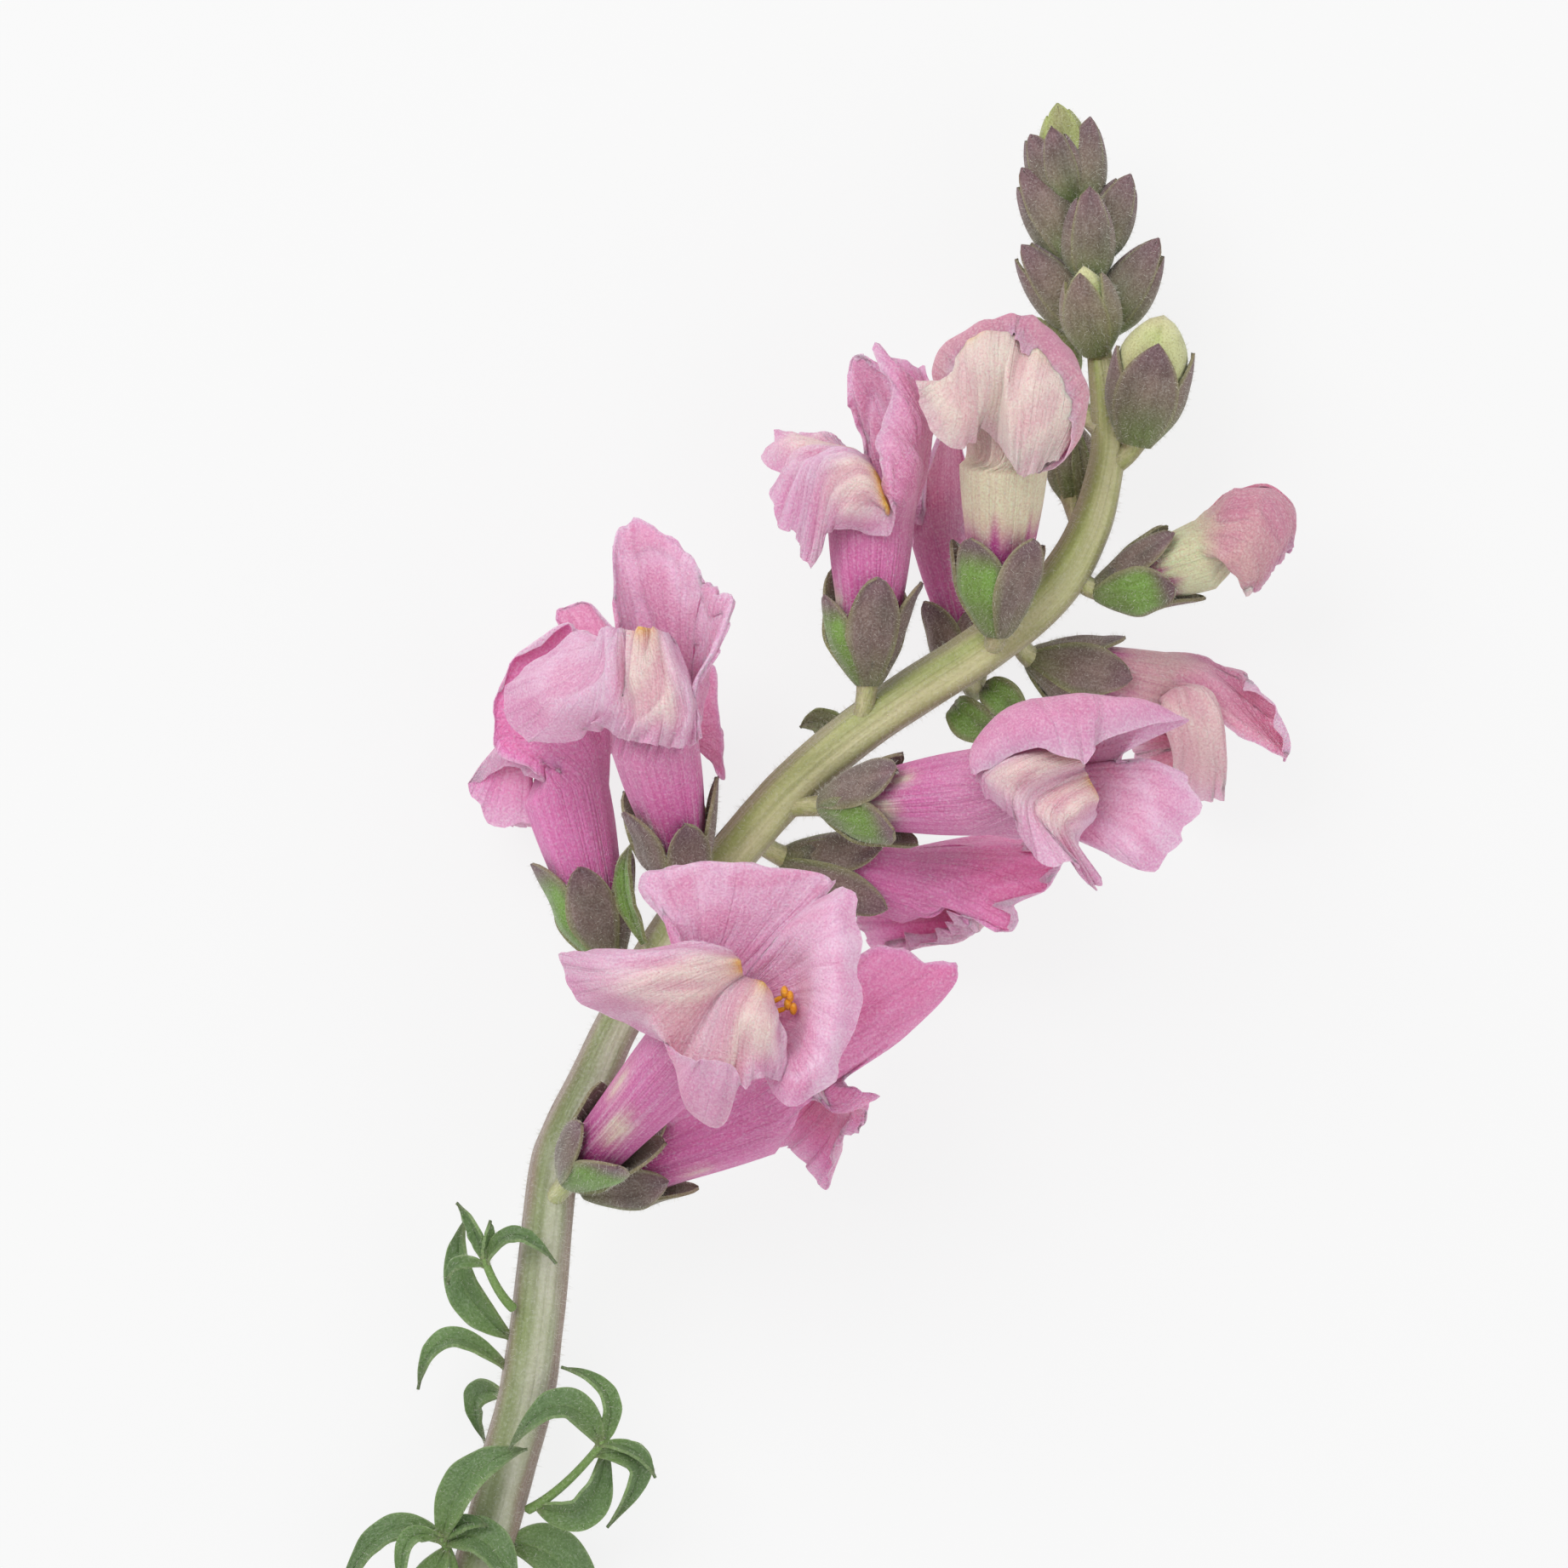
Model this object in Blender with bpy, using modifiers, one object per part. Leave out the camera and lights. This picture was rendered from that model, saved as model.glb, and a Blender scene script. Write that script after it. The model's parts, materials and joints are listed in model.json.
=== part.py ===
# Snapdragon flower spike, a cut stem that lies on a surface with its front blooms facing up.
#
# Places are written in plan millimetres: x to the right, y down the plan, z up from the surface.
# place() turns them into the part's own frame: +X right, +Y towards the bud tip, +Z up.

import bpy
import bmesh
from math import cos, exp, pi, radians, sin
from mathutils import Matrix, Vector

MM = 0.001
PLAN_CENTRE = (94.29, 107.71)  # the plan point that lies over the part's origin
GAP = 0.3  # clearance between pieces that touch

# Petals
PETAL_THICKNESS = 0.62
PETAL_FLOOR = 0.35  # lowest a petal's middle surface can lie
TUBE_RADII = (2.3, 3.3, 4.0, 4.6, 5.0)  # corolla tube, from the calyx to the mouth
TUBE_ROWS = (0.0, 0.45, 1.0)
LIP_ROWS = 5  # rows from the mouth to the edge of the lips
POUCH = 0.9  # swelling under the foot of the tube
FLARE = radians(24)  # how far the lips leave the mouth outwards
LEAD = 0.36  # share of the way that the lips keep that direction
OVER = (4.0, 0.0)  # how far the upper lip arches over before its edge: forward, towards the lip
LIP_TURNS = (88, 122)  # where the upper lip gives way to the lower one
PILLOWS = (150, 210)  # where the two pillows of the palate swell
PILLOW_WIDTH = 19
RIM_TURNS = (0, 15, 32, 50, 70, 93, 108, 122, 138, 154, 168, 180,
             192, 206, 222, 238, 252, 267, 290, 310, 328, 345)

# A full lip in the bloom's own frame: forward, towards the upper lip, to the side
RIM_FORM = (
    (10, 10, 0), (17, 12, 4), (19, 14, 9), (16, 14, 14), (10, 9, 14), (3, 1, 6.5),
    (6, -2, 12), (4, -7, 14), (2, -11, 12), (6, -11, 6.5), (4, -15, 4), (3, -16, 0),
    (4, -15, -4), (6, -11, -6.5), (2, -11, -12), (4, -7, -14), (6, -2, -12), (3, 1, -6.5),
    (10, 9, -14), (16, 14, -14), (19, 14, -9), (17, 12, -4),
)

# The lower lip's way up to the palate's crest and over it: forward, up, wide, and how far it swells
PALATE_FORM = ((3.5, -2.0, 4.6, 0.0, 0.6), (7.0, 3.6, 4.8, 1.0, 1.8), (8.6, -1.6, 6.6, 2.4, 1.2))
LAST_FOLD = (0.55, 1.5)  # where the lip folds last on its way to the edge: share of the way, forward

# Sepals
SEPALS = 5
SEPAL_LENGTH = 8.8
SEPAL_THICKNESS = 0.7
SEPAL_TURN = 27  # half of a sepal's width, as a turn round the flower
CUP_DEPTH = 2.0
CUP_RADIUS = 3.5
PEDICEL_RADIUS = 1.15

# Stamens of the lowest bloom: forward, towards the upper lip and to the side of its mouth
FILAMENT_RADIUS = 0.42
ANTHER_RADIUS = 0.8
ANTHERS = ((8.6, 4.0, -4.6), (7.9, 3.6, -5.8))

# Stem: plan place and radius, from under the buds to the cut end
STEM_PATH = (
    (129.4, 43.4, 17.6, 1.5), (130.1, 48.0, 18.6, 1.8), (130.2, 54.0, 19.6, 2.1),
    (128.1, 62.0, 20.4, 2.5), (124.0, 69.0, 21.0, 2.8), (116.5, 75.5, 21.4, 2.9),
    (108.0, 81.0, 21.6, 2.9), (100.0, 86.5, 21.6, 2.85), (93.0, 92.5, 21.4, 2.8),
    (88.0, 98.0, 21.1, 2.75), (84.4, 102.4, 20.8, 2.75), (80.0, 108.0, 20.3, 2.7),
    (76.0, 114.0, 19.6, 2.6), (72.3, 120.7, 18.8, 2.55), (69.5, 126.8, 18.0, 2.7),
    (66.2, 133.5, 16.9, 2.8), (64.8, 138.0, 16.1, 2.9), (63.8, 146.8, 14.4, 3.0),
    (62.8, 155.7, 12.5, 3.15), (61.5, 164.5, 10.5, 3.3), (59.1, 173.4, 8.5, 3.3),
    (57.2, 180.7, 6.9, 3.15), (54.2, 190.0, 5.0, 3.1), (50.6, 201.0, 3.15, 3.1),
)

# Each bloom: foot and mouth of its tube, the way its upper lip points, and the rim of its lips, where
# a list gives the whole way from inside the mouth to the edge
BLOOMS = {
    "01": dict(
        foot=(68.4, 137.0, 23.0), mouth=(83.0, 120.5, 42.0), up=(0.5, -0.6, -0.65), joint=16.4,
        palate=1.0, rim={
            0: [(87.2, 115.0, 40.0), (90.0, 111.6, 41.6), (92.4, 108.8, 42.8), (94.8, 106.6, 42.8),
                (97.4, 104.8, 42.0)],
            1: (97.6, 102.9, 40.5), 2: (89.0, 102.1, 42), 3: (79.5, 101.8, 43),
            4: (74.9, 104.0, 43), 5: (79.5, 111.5, 43.5),
            6: [(82.5, 115.0, 44.5), (85.3, 112.2, 45.5), (81.5, 110.7, 48.5), (76.6, 111.6, 46.8),
                (72.0, 113.6, 46.5)],
            7: [(82.5, 115.6, 45.0), (86.2, 112.0, 46.8), (81.5, 111.3, 50.6), (75.4, 113.4, 47.6),
                (66.2, 111.8, 48.2)],
            8: [(82.8, 116.2, 45.5), (86.9, 112.6, 47.6), (82.0, 113.0, 51.8), (75.8, 115.8, 48.6),
                (68.5, 118.0, 48.0)],
            9: [(83.2, 117.0, 46.0), (87.1, 113.6, 47.6), (82.8, 115.2, 51.4), (78.3, 117.6, 49.6),
                (76.0, 119.9, 47.6)],
            10: [(83.6, 117.8, 46.3), (87.2, 114.3, 46.9), (84.0, 117.0, 49.8), (80.0, 121.6, 48.6),
                 (80.0, 126.2, 49.6)],
            11: [(84.0, 118.4, 46.3), (87.6, 114.6, 46.5), (84.8, 117.8, 49.0), (82.2, 123.0, 48.8),
                 (82.4, 129.0, 50.0)],
            12: [(84.6, 118.9, 46.2), (88.4, 114.9, 47.0), (86.2, 118.6, 50.6), (84.8, 123.8, 49.4),
                 (85.8, 130.0, 49.6)],
            13: [(85.4, 119.4, 45.8), (89.5, 115.2, 47.4), (88.0, 119.0, 51.9), (87.2, 124.4, 49.8),
                 (87.6, 127.4, 50.2)],
            14: [(86.0, 120.2, 45.2), (90.4, 116.2, 47.6), (90.2, 119.6, 51.4), (89.6, 123.6, 50.3),
                 (89.3, 126.0, 49.0)],
            15: [(86.6, 121.0, 44.6), (90.4, 117.8, 47.2), (91.8, 120.6, 49.4), (91.4, 124.0, 48.4),
                 (91.2, 126.6, 47.0)],
            16: [(87.0, 121.8, 43.8), (90.0, 120.0, 46.4), (92.2, 121.6, 47.4), (92.2, 124.0, 46.6),
                 (91.8, 126.2, 45.4)],
            17: (89.5, 124.0, 43.0),
            18: [(88.4, 121.6, 41.8), (91.8, 122.4, 43.8), (93.4, 124.2, 47.2), (93.8, 127.0, 48.2),
                 (92.4, 129.8, 46.5)],
            19: [(89.2, 119.0, 41.0), (93.4, 118.8, 42.8), (95.4, 119.8, 47.4), (97.4, 122.0, 49.2),
                 (98.9, 124.6, 47.5)],
            20: [(89.2, 117.0, 40.6), (93.4, 114.8, 42.4), (95.2, 113.8, 46.8), (98.0, 113.6, 49.0),
                 (100.9, 113.2, 47.5)],
            21: [(88.6, 115.5, 40.4), (92.0, 111.8, 42.6), (94.8, 108.8, 45.8), (97.6, 106.4, 47.4),
                 (100.4, 104.0, 46.0)]}),
    "02": dict(
        foot=(71.0, 138.6, 14.5), mouth=(89.0, 131.0, 17.0), up=(-0.1, -0.95, 0.3), joint=15.6,
        palate=0.8, rim={
            0: (98.0, 116.0, 18), 1: (101.0, 112.4, 24), 2: (108.0, 112.8, 23), 3: (112.7, 114.5, 21),
            4: (106.0, 121.7, 20), 5: (98.5, 126.5, 22), 6: (100.2, 127.9, 24), 7: (102.3, 128.8, 22),
            8: (101.5, 132.6, 19), 9: (98.6, 133.6, 17), 10: (98.3, 136.5, 14), 11: (97.4, 140.2, 9),
            12: (95.2, 137.5, 8), 13: (93.5, 135.5, 8), 14: (90.5, 135.0, 5), 15: (87.5, 133.8, 5),
            16: (88.5, 131.0, 7), 17: (93.5, 128.5, 9), 18: (98.0, 123.0, 7), 19: (104.0, 119.0, 5),
            20: (104.0, 115.0, 6), 21: (99.0, 113.5, 12)}),
    "03": dict(
        foot=(70.8, 110.0, 15.0), mouth=(66.4, 93.5, 12.5), up=(0.95, -0.2, -0.2), joint=12.6,
        palate=0.8, rim={
            0: (70.0, 79.0, 19), 1: (69.0, 77.5, 15), 2: (66.0, 76.0, 13), 3: (62.0, 78.0, 11),
            4: (60.5, 84.0, 10), 5: (63.0, 90.0, 10), 6: (60.0, 87.5, 7), 7: (58.0, 89.5, 5),
            8: (57.5, 93.0, 4), 9: (62.0, 95.5, 6), 10: (60.5, 95.5, 4), 11: (59.5, 96.3, 4.5),
            12: (60.3, 97.0, 6), 13: (62.2, 96.8, 11), 14: (57.0, 96.2, 9), 15: (55.0, 91.8, 10),
            16: (59.5, 90.0, 14), 17: (63.8, 91.6, 17), 18: (57.9, 87.8, 18), 19: (59.2, 79.0, 20),
            20: (65.0, 74.3, 22), 21: (69.5, 75.0, 22)}),
    "04": dict(
        foot=(80.3, 101.5, 27.5), mouth=(77.0, 87.5, 34.0), up=(0.8, -0.35, -0.5), joint=10.6,
        palate=1.0, rim={
            0: (83.3, 68.5, 34), 1: (80.7, 65.6, 33), 2: (75.5, 61.7, 32), 3: (72.4, 63.5, 32),
            4: (72.3, 70.0, 33), 5: (73.0, 75.8, 33),
            6: [(72.8, 82.0, 35.0), (71.5, 76.0, 34.5), (70.0, 75.5, 34.5), (69.0, 75.2, 33.5),
                (68.5, 74.5, 32.0)],
            7: [(72.6, 82.0, 36.0), (71.0, 75.0, 35.6), (68.0, 77.0, 36.0), (64.0, 79.0, 34.0),
                (60.3, 80.0, 29.0)],
            8: [(72.8, 82.0, 37.4), (71.2, 74.2, 37.4), (69.4, 78.6, 39.0), (66.0, 82.6, 37.0),
                (62.0, 87.0, 30.0)],
            9: [(73.2, 82.0, 38.6), (72.0, 73.8, 38.8), (71.2, 78.6, 41.6), (70.0, 82.5, 40.0),
                (68.5, 86.5, 35.0)],
            10: [(74.0, 82.0, 39.6), (73.0, 74.0, 39.6), (72.4, 79.0, 43.0), (72.0, 83.0, 42.4),
                 (71.0, 85.5, 39.0)],
            11: [(75.0, 82.0, 40.4), (74.0, 74.4, 39.6), (73.6, 79.6, 41.6), (73.8, 83.6, 42.0),
                 (73.0, 86.8, 40.5)],
            12: [(76.2, 82.0, 41.0), (75.0, 74.2, 40.8), (74.6, 79.8, 44.0), (74.8, 84.2, 43.6),
                 (74.2, 87.0, 42.0)],
            13: [(77.4, 81.8, 41.3), (76.0, 73.8, 41.2), (76.6, 79.8, 44.8), (77.0, 84.4, 44.4),
                 (76.6, 87.6, 42.4)],
            14: [(78.4, 81.4, 41.2), (77.0, 74.0, 41.0), (78.6, 79.6, 44.4), (79.4, 84.4, 44.2),
                 (79.0, 87.8, 42.4)],
            15: [(79.4, 81.0, 40.8), (78.2, 74.6, 40.3), (80.2, 79.5, 43.2), (81.2, 84.5, 43.2),
                 (81.0, 87.4, 42.0)],
            16: [(80.5, 81.0, 40.0), (79.5, 76.0, 39.5), (81.0, 79.5, 41.5), (82.0, 83.5, 42.0),
                 (82.3, 86.6, 41.5)],
            17: (82.2, 85.0, 40), 18: (82.0, 81.4, 42), 19: (84.3, 77.0, 41),
            20: (86.4, 71.3, 38), 21: (84.9, 69.8, 36)}),
    "05": dict(
        foot=(81.0, 102.6, 13.0), mouth=(77.5, 88.5, 7.5), up=(0.2, 0.0, 1.0), joint=10.4,
        size=0.62, palate=0.8, rim={
            2: (83.6, 79.0, 11), 3: (84.6, 86.0, 12), 4: (84.9, 91.5, 11),
            18: (67.5, 76.5, 7), 19: (65.2, 72.2, 7), 20: (68.4, 70.6, 8), 21: (71.5, 73.6, 10)}),
    "06": dict(
        foot=(102.0, 77.2, 25.0), mouth=(102.3, 61.0, 26.0), up=(0.95, 0.0, -0.3), joint=6.9,
        palate=1.0, pillows=(140, 238), rim={
            0: [(108.0, 58.0, 27.5), (109.0, 54.0, 28.4), (109.4, 50.0, 28.8), (109.2, 46.2, 28.4),
                (108.4, 43.2, 27.6)],
            1: (104.0, 43.5, 25.0), 2: (100.3, 42.0, 24.0), 3: (99.6, 47.0, 22.0),
            4: (101.4, 52.5, 21.0), 5: (101.5, 56.0, 21.0), 6: (97.0, 52.5, 21.0),
            7: [(102.2, 57.0, 23.0), (101.0, 54.0, 22.6), (97.2, 52.6, 23.0), (94.2, 51.2, 21.5),
                (92.0, 50.9, 19.0)],
            8: [(102.2, 57.0, 24.0), (101.0, 53.4, 24.0), (97.0, 52.2, 25.0), (93.0, 51.8, 24.0),
                (89.7, 54.2, 21.0)],
            9: [(102.2, 57.0, 25.0), (100.8, 53.2, 25.4), (97.0, 52.4, 26.4), (94.0, 53.0, 25.6),
                (92.2, 55.9, 24.0)],
            10: [(102.2, 57.0, 26.0), (100.6, 53.4, 26.8), (96.8, 52.8, 27.8), (93.4, 54.2, 27.2),
                 (90.5, 58.7, 26.0)],
            11: [(102.4, 57.0, 27.0), (100.8, 53.8, 28.2), (97.2, 53.4, 29.0), (94.0, 55.2, 28.6),
                 (91.4, 62.0, 27.0)],
            12: [(102.6, 57.4, 28.0), (101.2, 53.6, 30.0), (97.8, 53.0, 31.6), (95.0, 55.4, 30.6),
                 (93.2, 62.6, 29.0)],
            13: [(103.0, 57.8, 29.0), (101.8, 54.2, 31.6), (98.6, 53.6, 33.6), (96.0, 56.0, 32.2),
                 (94.2, 64.2, 30.0)],
            14: [(103.4, 58.5, 30.0), (102.6, 55.4, 33.0), (99.6, 54.6, 35.4), (97.0, 57.0, 33.8),
                 (95.2, 66.6, 31.0)],
            15: [(104.0, 59.5, 31.5), (103.4, 57.6, 34.0), (100.8, 56.0, 36.2), (98.4, 58.4, 35.0),
                 (96.8, 63.5, 32.0)],
            16: [(104.2, 60.5, 32.5), (103.8, 59.8, 34.0), (101.6, 58.2, 35.8), (99.6, 60.0, 35.2),
                 (98.5, 62.0, 33.0)],
            17: (104.8, 62.5, 32.5),
            18: [(106.0, 60.0, 32.0), (106.0, 59.0, 33.8), (105.4, 58.5, 34.8), (104.6, 58.0, 35.0),
                 (103.9, 57.5, 34.5)],
            19: [(107.0, 59.0, 31.5), (107.0, 56.5, 33.6), (106.0, 54.5, 34.8), (104.4, 53.0, 34.8),
                 (102.6, 52.3, 33.8)],
            20: [(107.6, 58.4, 30.4), (107.9, 54.8, 32.2), (107.4, 51.4, 33.2), (106.2, 48.6, 32.8),
                 (104.6, 46.5, 31.5)],
            21: [(107.8, 58.0, 29.0), (108.6, 53.6, 30.6), (108.2, 49.0, 31.4), (106.0, 44.4, 31.0),
                 (102.9, 40.4, 29.5)]}),
    "07": dict(
        foot=(114.0, 78.0, 12.5), mouth=(110.5, 63.5, 9.0), up=(0.8, 0.2, 0.5), joint=5.4,
        size=0.62, palate=0.8, rim={}),
    "08": dict(
        foot=(117.2, 71.5, 27.5), mouth=(117.8, 55.0, 31.0), up=(0.6, 0.0, -0.8), joint=5.0,
        palate=0.5, over=(9, 3), rim={
            0: [(120.0, 50.6, 30.0), (120.6, 43.6, 30.8), (120.4, 38.6, 34.0), (119.6, 37.6, 38.6),
                (119.0, 40.6, 41.2)],
            1: [(118.8, 50.4, 29.8), (117.8, 43.8, 30.6), (116.6, 38.8, 34.0), (116.4, 38.0, 38.4),
                (117.4, 41.0, 41.0)],
            2: [(117.4, 50.6, 29.8), (115.2, 44.4, 30.6), (113.0, 40.4, 33.6), (112.6, 39.8, 37.6),
                (114.6, 42.4, 40.4)],
            3: [(116.0, 51.0, 30.0), (113.2, 46.0, 30.8), (110.8, 42.8, 33.2), (110.2, 42.2, 36.4),
                (112.0, 44.2, 38.8)],
            4: [(114.8, 52.0, 30.6), (112.2, 48.6, 31.4), (110.4, 45.8, 33.0), (110.0, 45.4, 35.4),
                (111.4, 46.8, 37.0)],
            5: (112.5, 50.0, 33.0),
            6: [(114.5, 53.0, 31.5), (113.5, 50.5, 33.0), (112.2, 49.0, 35.0), (110.6, 48.2, 36.0),
                (108.4, 47.2, 36.0)],
            7: [(115.0, 53.0, 32.5), (114.4, 50.0, 34.6), (112.6, 48.4, 37.0), (110.2, 48.4, 37.6),
                (107.7, 47.0, 36.6)],
            8: [(115.6, 53.0, 33.6), (115.4, 49.0, 36.5), (113.8, 48.4, 39.0), (112.2, 50.4, 38.6),
                (111.4, 51.2, 37.0)],
            9: [(116.2, 53.2, 34.6), (116.0, 45.5, 38.0), (115.4, 46.2, 40.4), (114.4, 49.6, 40.2),
                (113.6, 52.4, 38.0)],
            10: [(116.8, 53.4, 35.0), (117.2, 42.6, 38.6), (116.8, 45.0, 41.6), (116.4, 49.2, 41.2),
                 (115.6, 52.8, 39.0)],
            11: [(117.4, 53.4, 35.2), (118.2, 42.2, 38.8), (118.2, 45.2, 41.4), (118.0, 49.0, 41.0),
                 (117.6, 52.8, 39.2)],
            12: [(118.0, 53.4, 35.4), (119.4, 42.6, 38.8), (119.4, 45.2, 42.0), (119.4, 49.4, 42.0),
                 (119.4, 54.4, 40.0)],
            13: [(118.8, 53.4, 35.2), (120.6, 43.6, 38.6), (121.2, 46.2, 42.2), (121.0, 50.6, 42.6),
                 (119.6, 55.8, 40.6)],
            14: [(119.6, 53.4, 35.0), (121.6, 44.8, 38.2), (123.2, 46.6, 41.6), (123.4, 50.2, 42.2),
                 (121.6, 55.4, 40.4)],
            15: [(120.2, 53.4, 34.6), (122.4, 46.4, 37.8), (124.4, 47.2, 40.6), (124.8, 50.0, 41.0),
                 (123.4, 54.0, 39.8)],
            16: [(120.6, 53.4, 34.2), (122.8, 48.6, 37.2), (124.2, 49.2, 39.0), (124.6, 51.4, 39.2),
                 (123.6, 54.4, 38.6)],
            17: (121.5, 56.0, 37.0),
            18: [(122.0, 53.5, 33.0), (124.6, 51.5, 34.6), (126.2, 51.2, 37.0), (126.4, 52.2, 39.4),
                 (125.2, 54.2, 40.4)],
            19: [(122.2, 52.5, 32.0), (125.4, 48.6, 33.6), (127.4, 46.8, 37.0), (127.0, 47.0, 40.4),
                 (125.2, 49.6, 42.0)],
            20: [(121.8, 51.5, 31.0), (124.8, 45.8, 32.4), (126.6, 42.8, 36.0), (125.6, 42.6, 40.2),
                 (122.8, 44.4, 42.0)],
            21: [(121.0, 51.0, 30.4), (123.0, 44.0, 31.4), (123.6, 39.4, 34.8), (122.4, 38.6, 39.4),
                 (120.6, 41.2, 41.6)]}),
    "09": dict(
        foot=(131.6, 68.6, 21.0), mouth=(141.5, 65.2, 22.0), up=(-0.2, -0.95, -0.2), joint=3.6,
        size=0.8, palate=0.3, over=(6, 6), rim={
            0: [(142.5, 59.5, 21.5), (145.5, 57.4, 21.6), (149.6, 57.2, 21.8), (152.2, 60.2, 22.0),
                (151.6, 64.5, 22.2)],
            1: [(142.5, 59.8, 23.2), (145.5, 57.8, 24.4), (149.5, 58.0, 25.0), (151.6, 61.2, 24.6),
                (150.8, 65.6, 23.6)],
            2: [(142.6, 60.4, 24.8), (145.4, 59.0, 26.8), (149.0, 59.8, 27.6), (150.6, 63.2, 26.8),
                (149.6, 67.0, 24.8)],
            3: [(142.6, 61.6, 26.0), (145.2, 61.0, 28.2), (148.0, 62.4, 28.8), (149.0, 65.6, 27.4),
                (148.2, 68.6, 25.2)],
            4: [(142.4, 63.2, 26.8), (144.6, 63.4, 28.6), (146.6, 65.0, 28.8), (147.4, 67.4, 27.4),
                (147.2, 69.6, 25.4)],
            5: [(142.2, 65.2, 27.0), (143.6, 65.8, 28.2), (145.0, 66.8, 28.0), (146.0, 68.2, 27.0),
                (146.4, 69.6, 25.6)],
            6: (148.0, 67.0, 25.0), 7: (148.4, 66.4, 24.2), 8: (148.6, 66.0, 23.6),
            9: (148.8, 65.8, 23.0), 10: (149.0, 65.6, 22.4), 11: (149.0, 65.6, 22.0),
            12: (149.0, 65.6, 21.6), 13: (148.8, 65.8, 21.0), 14: (148.6, 66.0, 20.4),
            15: (148.4, 66.4, 19.8), 16: (148.0, 67.0, 19.0),
            17: [(142.2, 65.2, 17.0), (143.6, 65.8, 15.8), (145.0, 66.8, 16.0), (146.0, 68.2, 17.0),
                 (146.4, 69.6, 18.4)],
            18: [(142.4, 63.2, 17.2), (144.6, 63.4, 15.4), (146.6, 65.0, 15.2), (147.4, 67.4, 16.6),
                 (147.2, 69.6, 18.6)],
            19: [(142.6, 61.6, 18.0), (145.2, 61.0, 15.8), (148.0, 62.4, 15.2), (149.0, 65.6, 16.6),
                 (148.2, 68.6, 18.8)],
            20: [(142.6, 60.4, 19.2), (145.4, 59.0, 17.2), (149.0, 59.8, 16.4), (150.6, 63.2, 17.2),
                 (149.6, 67.0, 19.2)],
            21: [(142.5, 59.8, 20.8), (145.5, 57.8, 19.6), (149.5, 58.0, 19.0), (151.6, 61.2, 19.4),
                 (150.8, 65.6, 20.4)]}),
    "10": dict(
        foot=(124.0, 78.0, 13.5), mouth=(136.0, 81.0, 9.5), up=(0.1, -0.9, -0.4), joint=4.4,
        size=0.9, palate=0.8, rim={
            0: (146.5, 79.5, 10), 1: (147.5, 80.8, 14), 2: (149.9, 84.8, 14.5), 3: (151.2, 89.3, 13),
            4: (146.6, 89.8, 15), 5: (140.0, 85.0, 15.5), 6: (143.5, 91.6, 12), 7: (142.6, 94.2, 9),
            8: (139.5, 93.6, 8), 9: (138.0, 92.0, 8), 10: (136.0, 93.0, 5), 11: (134.0, 93.0, 3),
            12: (133.0, 91.0, 3), 13: (134.0, 89.0, 4), 14: (133.0, 87.0, 3), 15: (134.0, 84.0, 2),
            16: (137.0, 82.0, 3), 17: (139.0, 82.0, 4), 18: (143.0, 83.0, 3), 19: (147.0, 84.0, 3),
            20: (148.0, 81.0, 5), 21: (146.0, 79.0, 7)}),
    "11": dict(
        foot=(99.5, 94.4, 26.0), mouth=(115.0, 93.0, 35.0), up=(0.5, -0.35, -0.79), joint=8.4,
        palate=1.0, rim={
            0: (131.0, 89.2, 40.0),
            1: [(121.0, 89.0, 35.0), (125.5, 86.2, 37.4), (130.0, 84.2, 39.8), (134.6, 83.0, 41.0),
                (139.0, 84.8, 40.0)],
            2: [(120.0, 88.0, 35.5), (123.8, 84.6, 38.5), (127.5, 82.2, 42.0), (129.6, 82.8, 45.6),
                (129.4, 87.0, 47.2)],
            3: [(118.8, 87.4, 36.0), (121.4, 83.8, 39.5), (123.6, 82.0, 44.0), (125.2, 84.2, 47.8),
                (126.4, 90.2, 49.0)],
            4: [(116.6, 87.4, 37.5), (117.0, 84.6, 40.5), (118.0, 83.6, 44.5), (119.4, 85.4, 47.6),
                (120.4, 88.4, 48.4)],
            5: [(115.0, 89.5, 40.0), (114.4, 88.4, 41.5), (113.9, 88.6, 43.0), (114.0, 89.6, 44.0),
                (114.6, 90.8, 44.6)],
            6: [(120.2, 90.2, 40.6), (121.4, 87.8, 42.0), (117.8, 88.2, 44.2), (115.4, 89.2, 43.2),
                (114.4, 90.4, 42.0)],
            7: [(120.6, 90.8, 41.2), (123.2, 87.9, 43.0), (118.6, 88.8, 46.4), (115.6, 90.4, 44.8),
                (114.8, 92.2, 43.0)],
            8: [(120.8, 91.4, 41.6), (124.8, 88.2, 43.8), (119.6, 89.6, 48.2), (116.4, 91.4, 46.4),
                (116.6, 94.2, 44.5)],
            9: [(120.8, 91.8, 41.8), (126.0, 88.8, 44.0), (120.8, 90.4, 48.8), (117.8, 92.6, 47.4),
                (118.6, 96.0, 46.0)],
            10: [(120.8, 92.2, 41.8), (126.8, 89.6, 43.8), (121.9, 91.0, 48.2), (119.2, 93.6, 47.4),
                 (119.6, 98.0, 46.5)],
            11: [(120.8, 92.6, 41.8), (127.0, 90.4, 43.4), (123.0, 91.8, 46.2), (120.4, 94.6, 46.6),
                 (121.9, 101.2, 47.0)],
            12: [(121.0, 93.2, 41.8), (127.2, 90.9, 43.6), (123.8, 92.8, 45.8), (121.6, 95.6, 46.4),
                 (126.2, 101.2, 47.0)],
            13: [(121.2, 93.8, 41.8), (127.6, 91.8, 44.2), (124.9, 93.6, 47.2), (122.9, 96.6, 46.8),
                 (126.8, 101.0, 45.5)],
            14: [(121.6, 94.4, 41.6), (128.2, 93.2, 44.4), (126.2, 94.6, 48.0), (124.6, 97.4, 46.8),
                 (128.9, 105.6, 42.0)],
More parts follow.
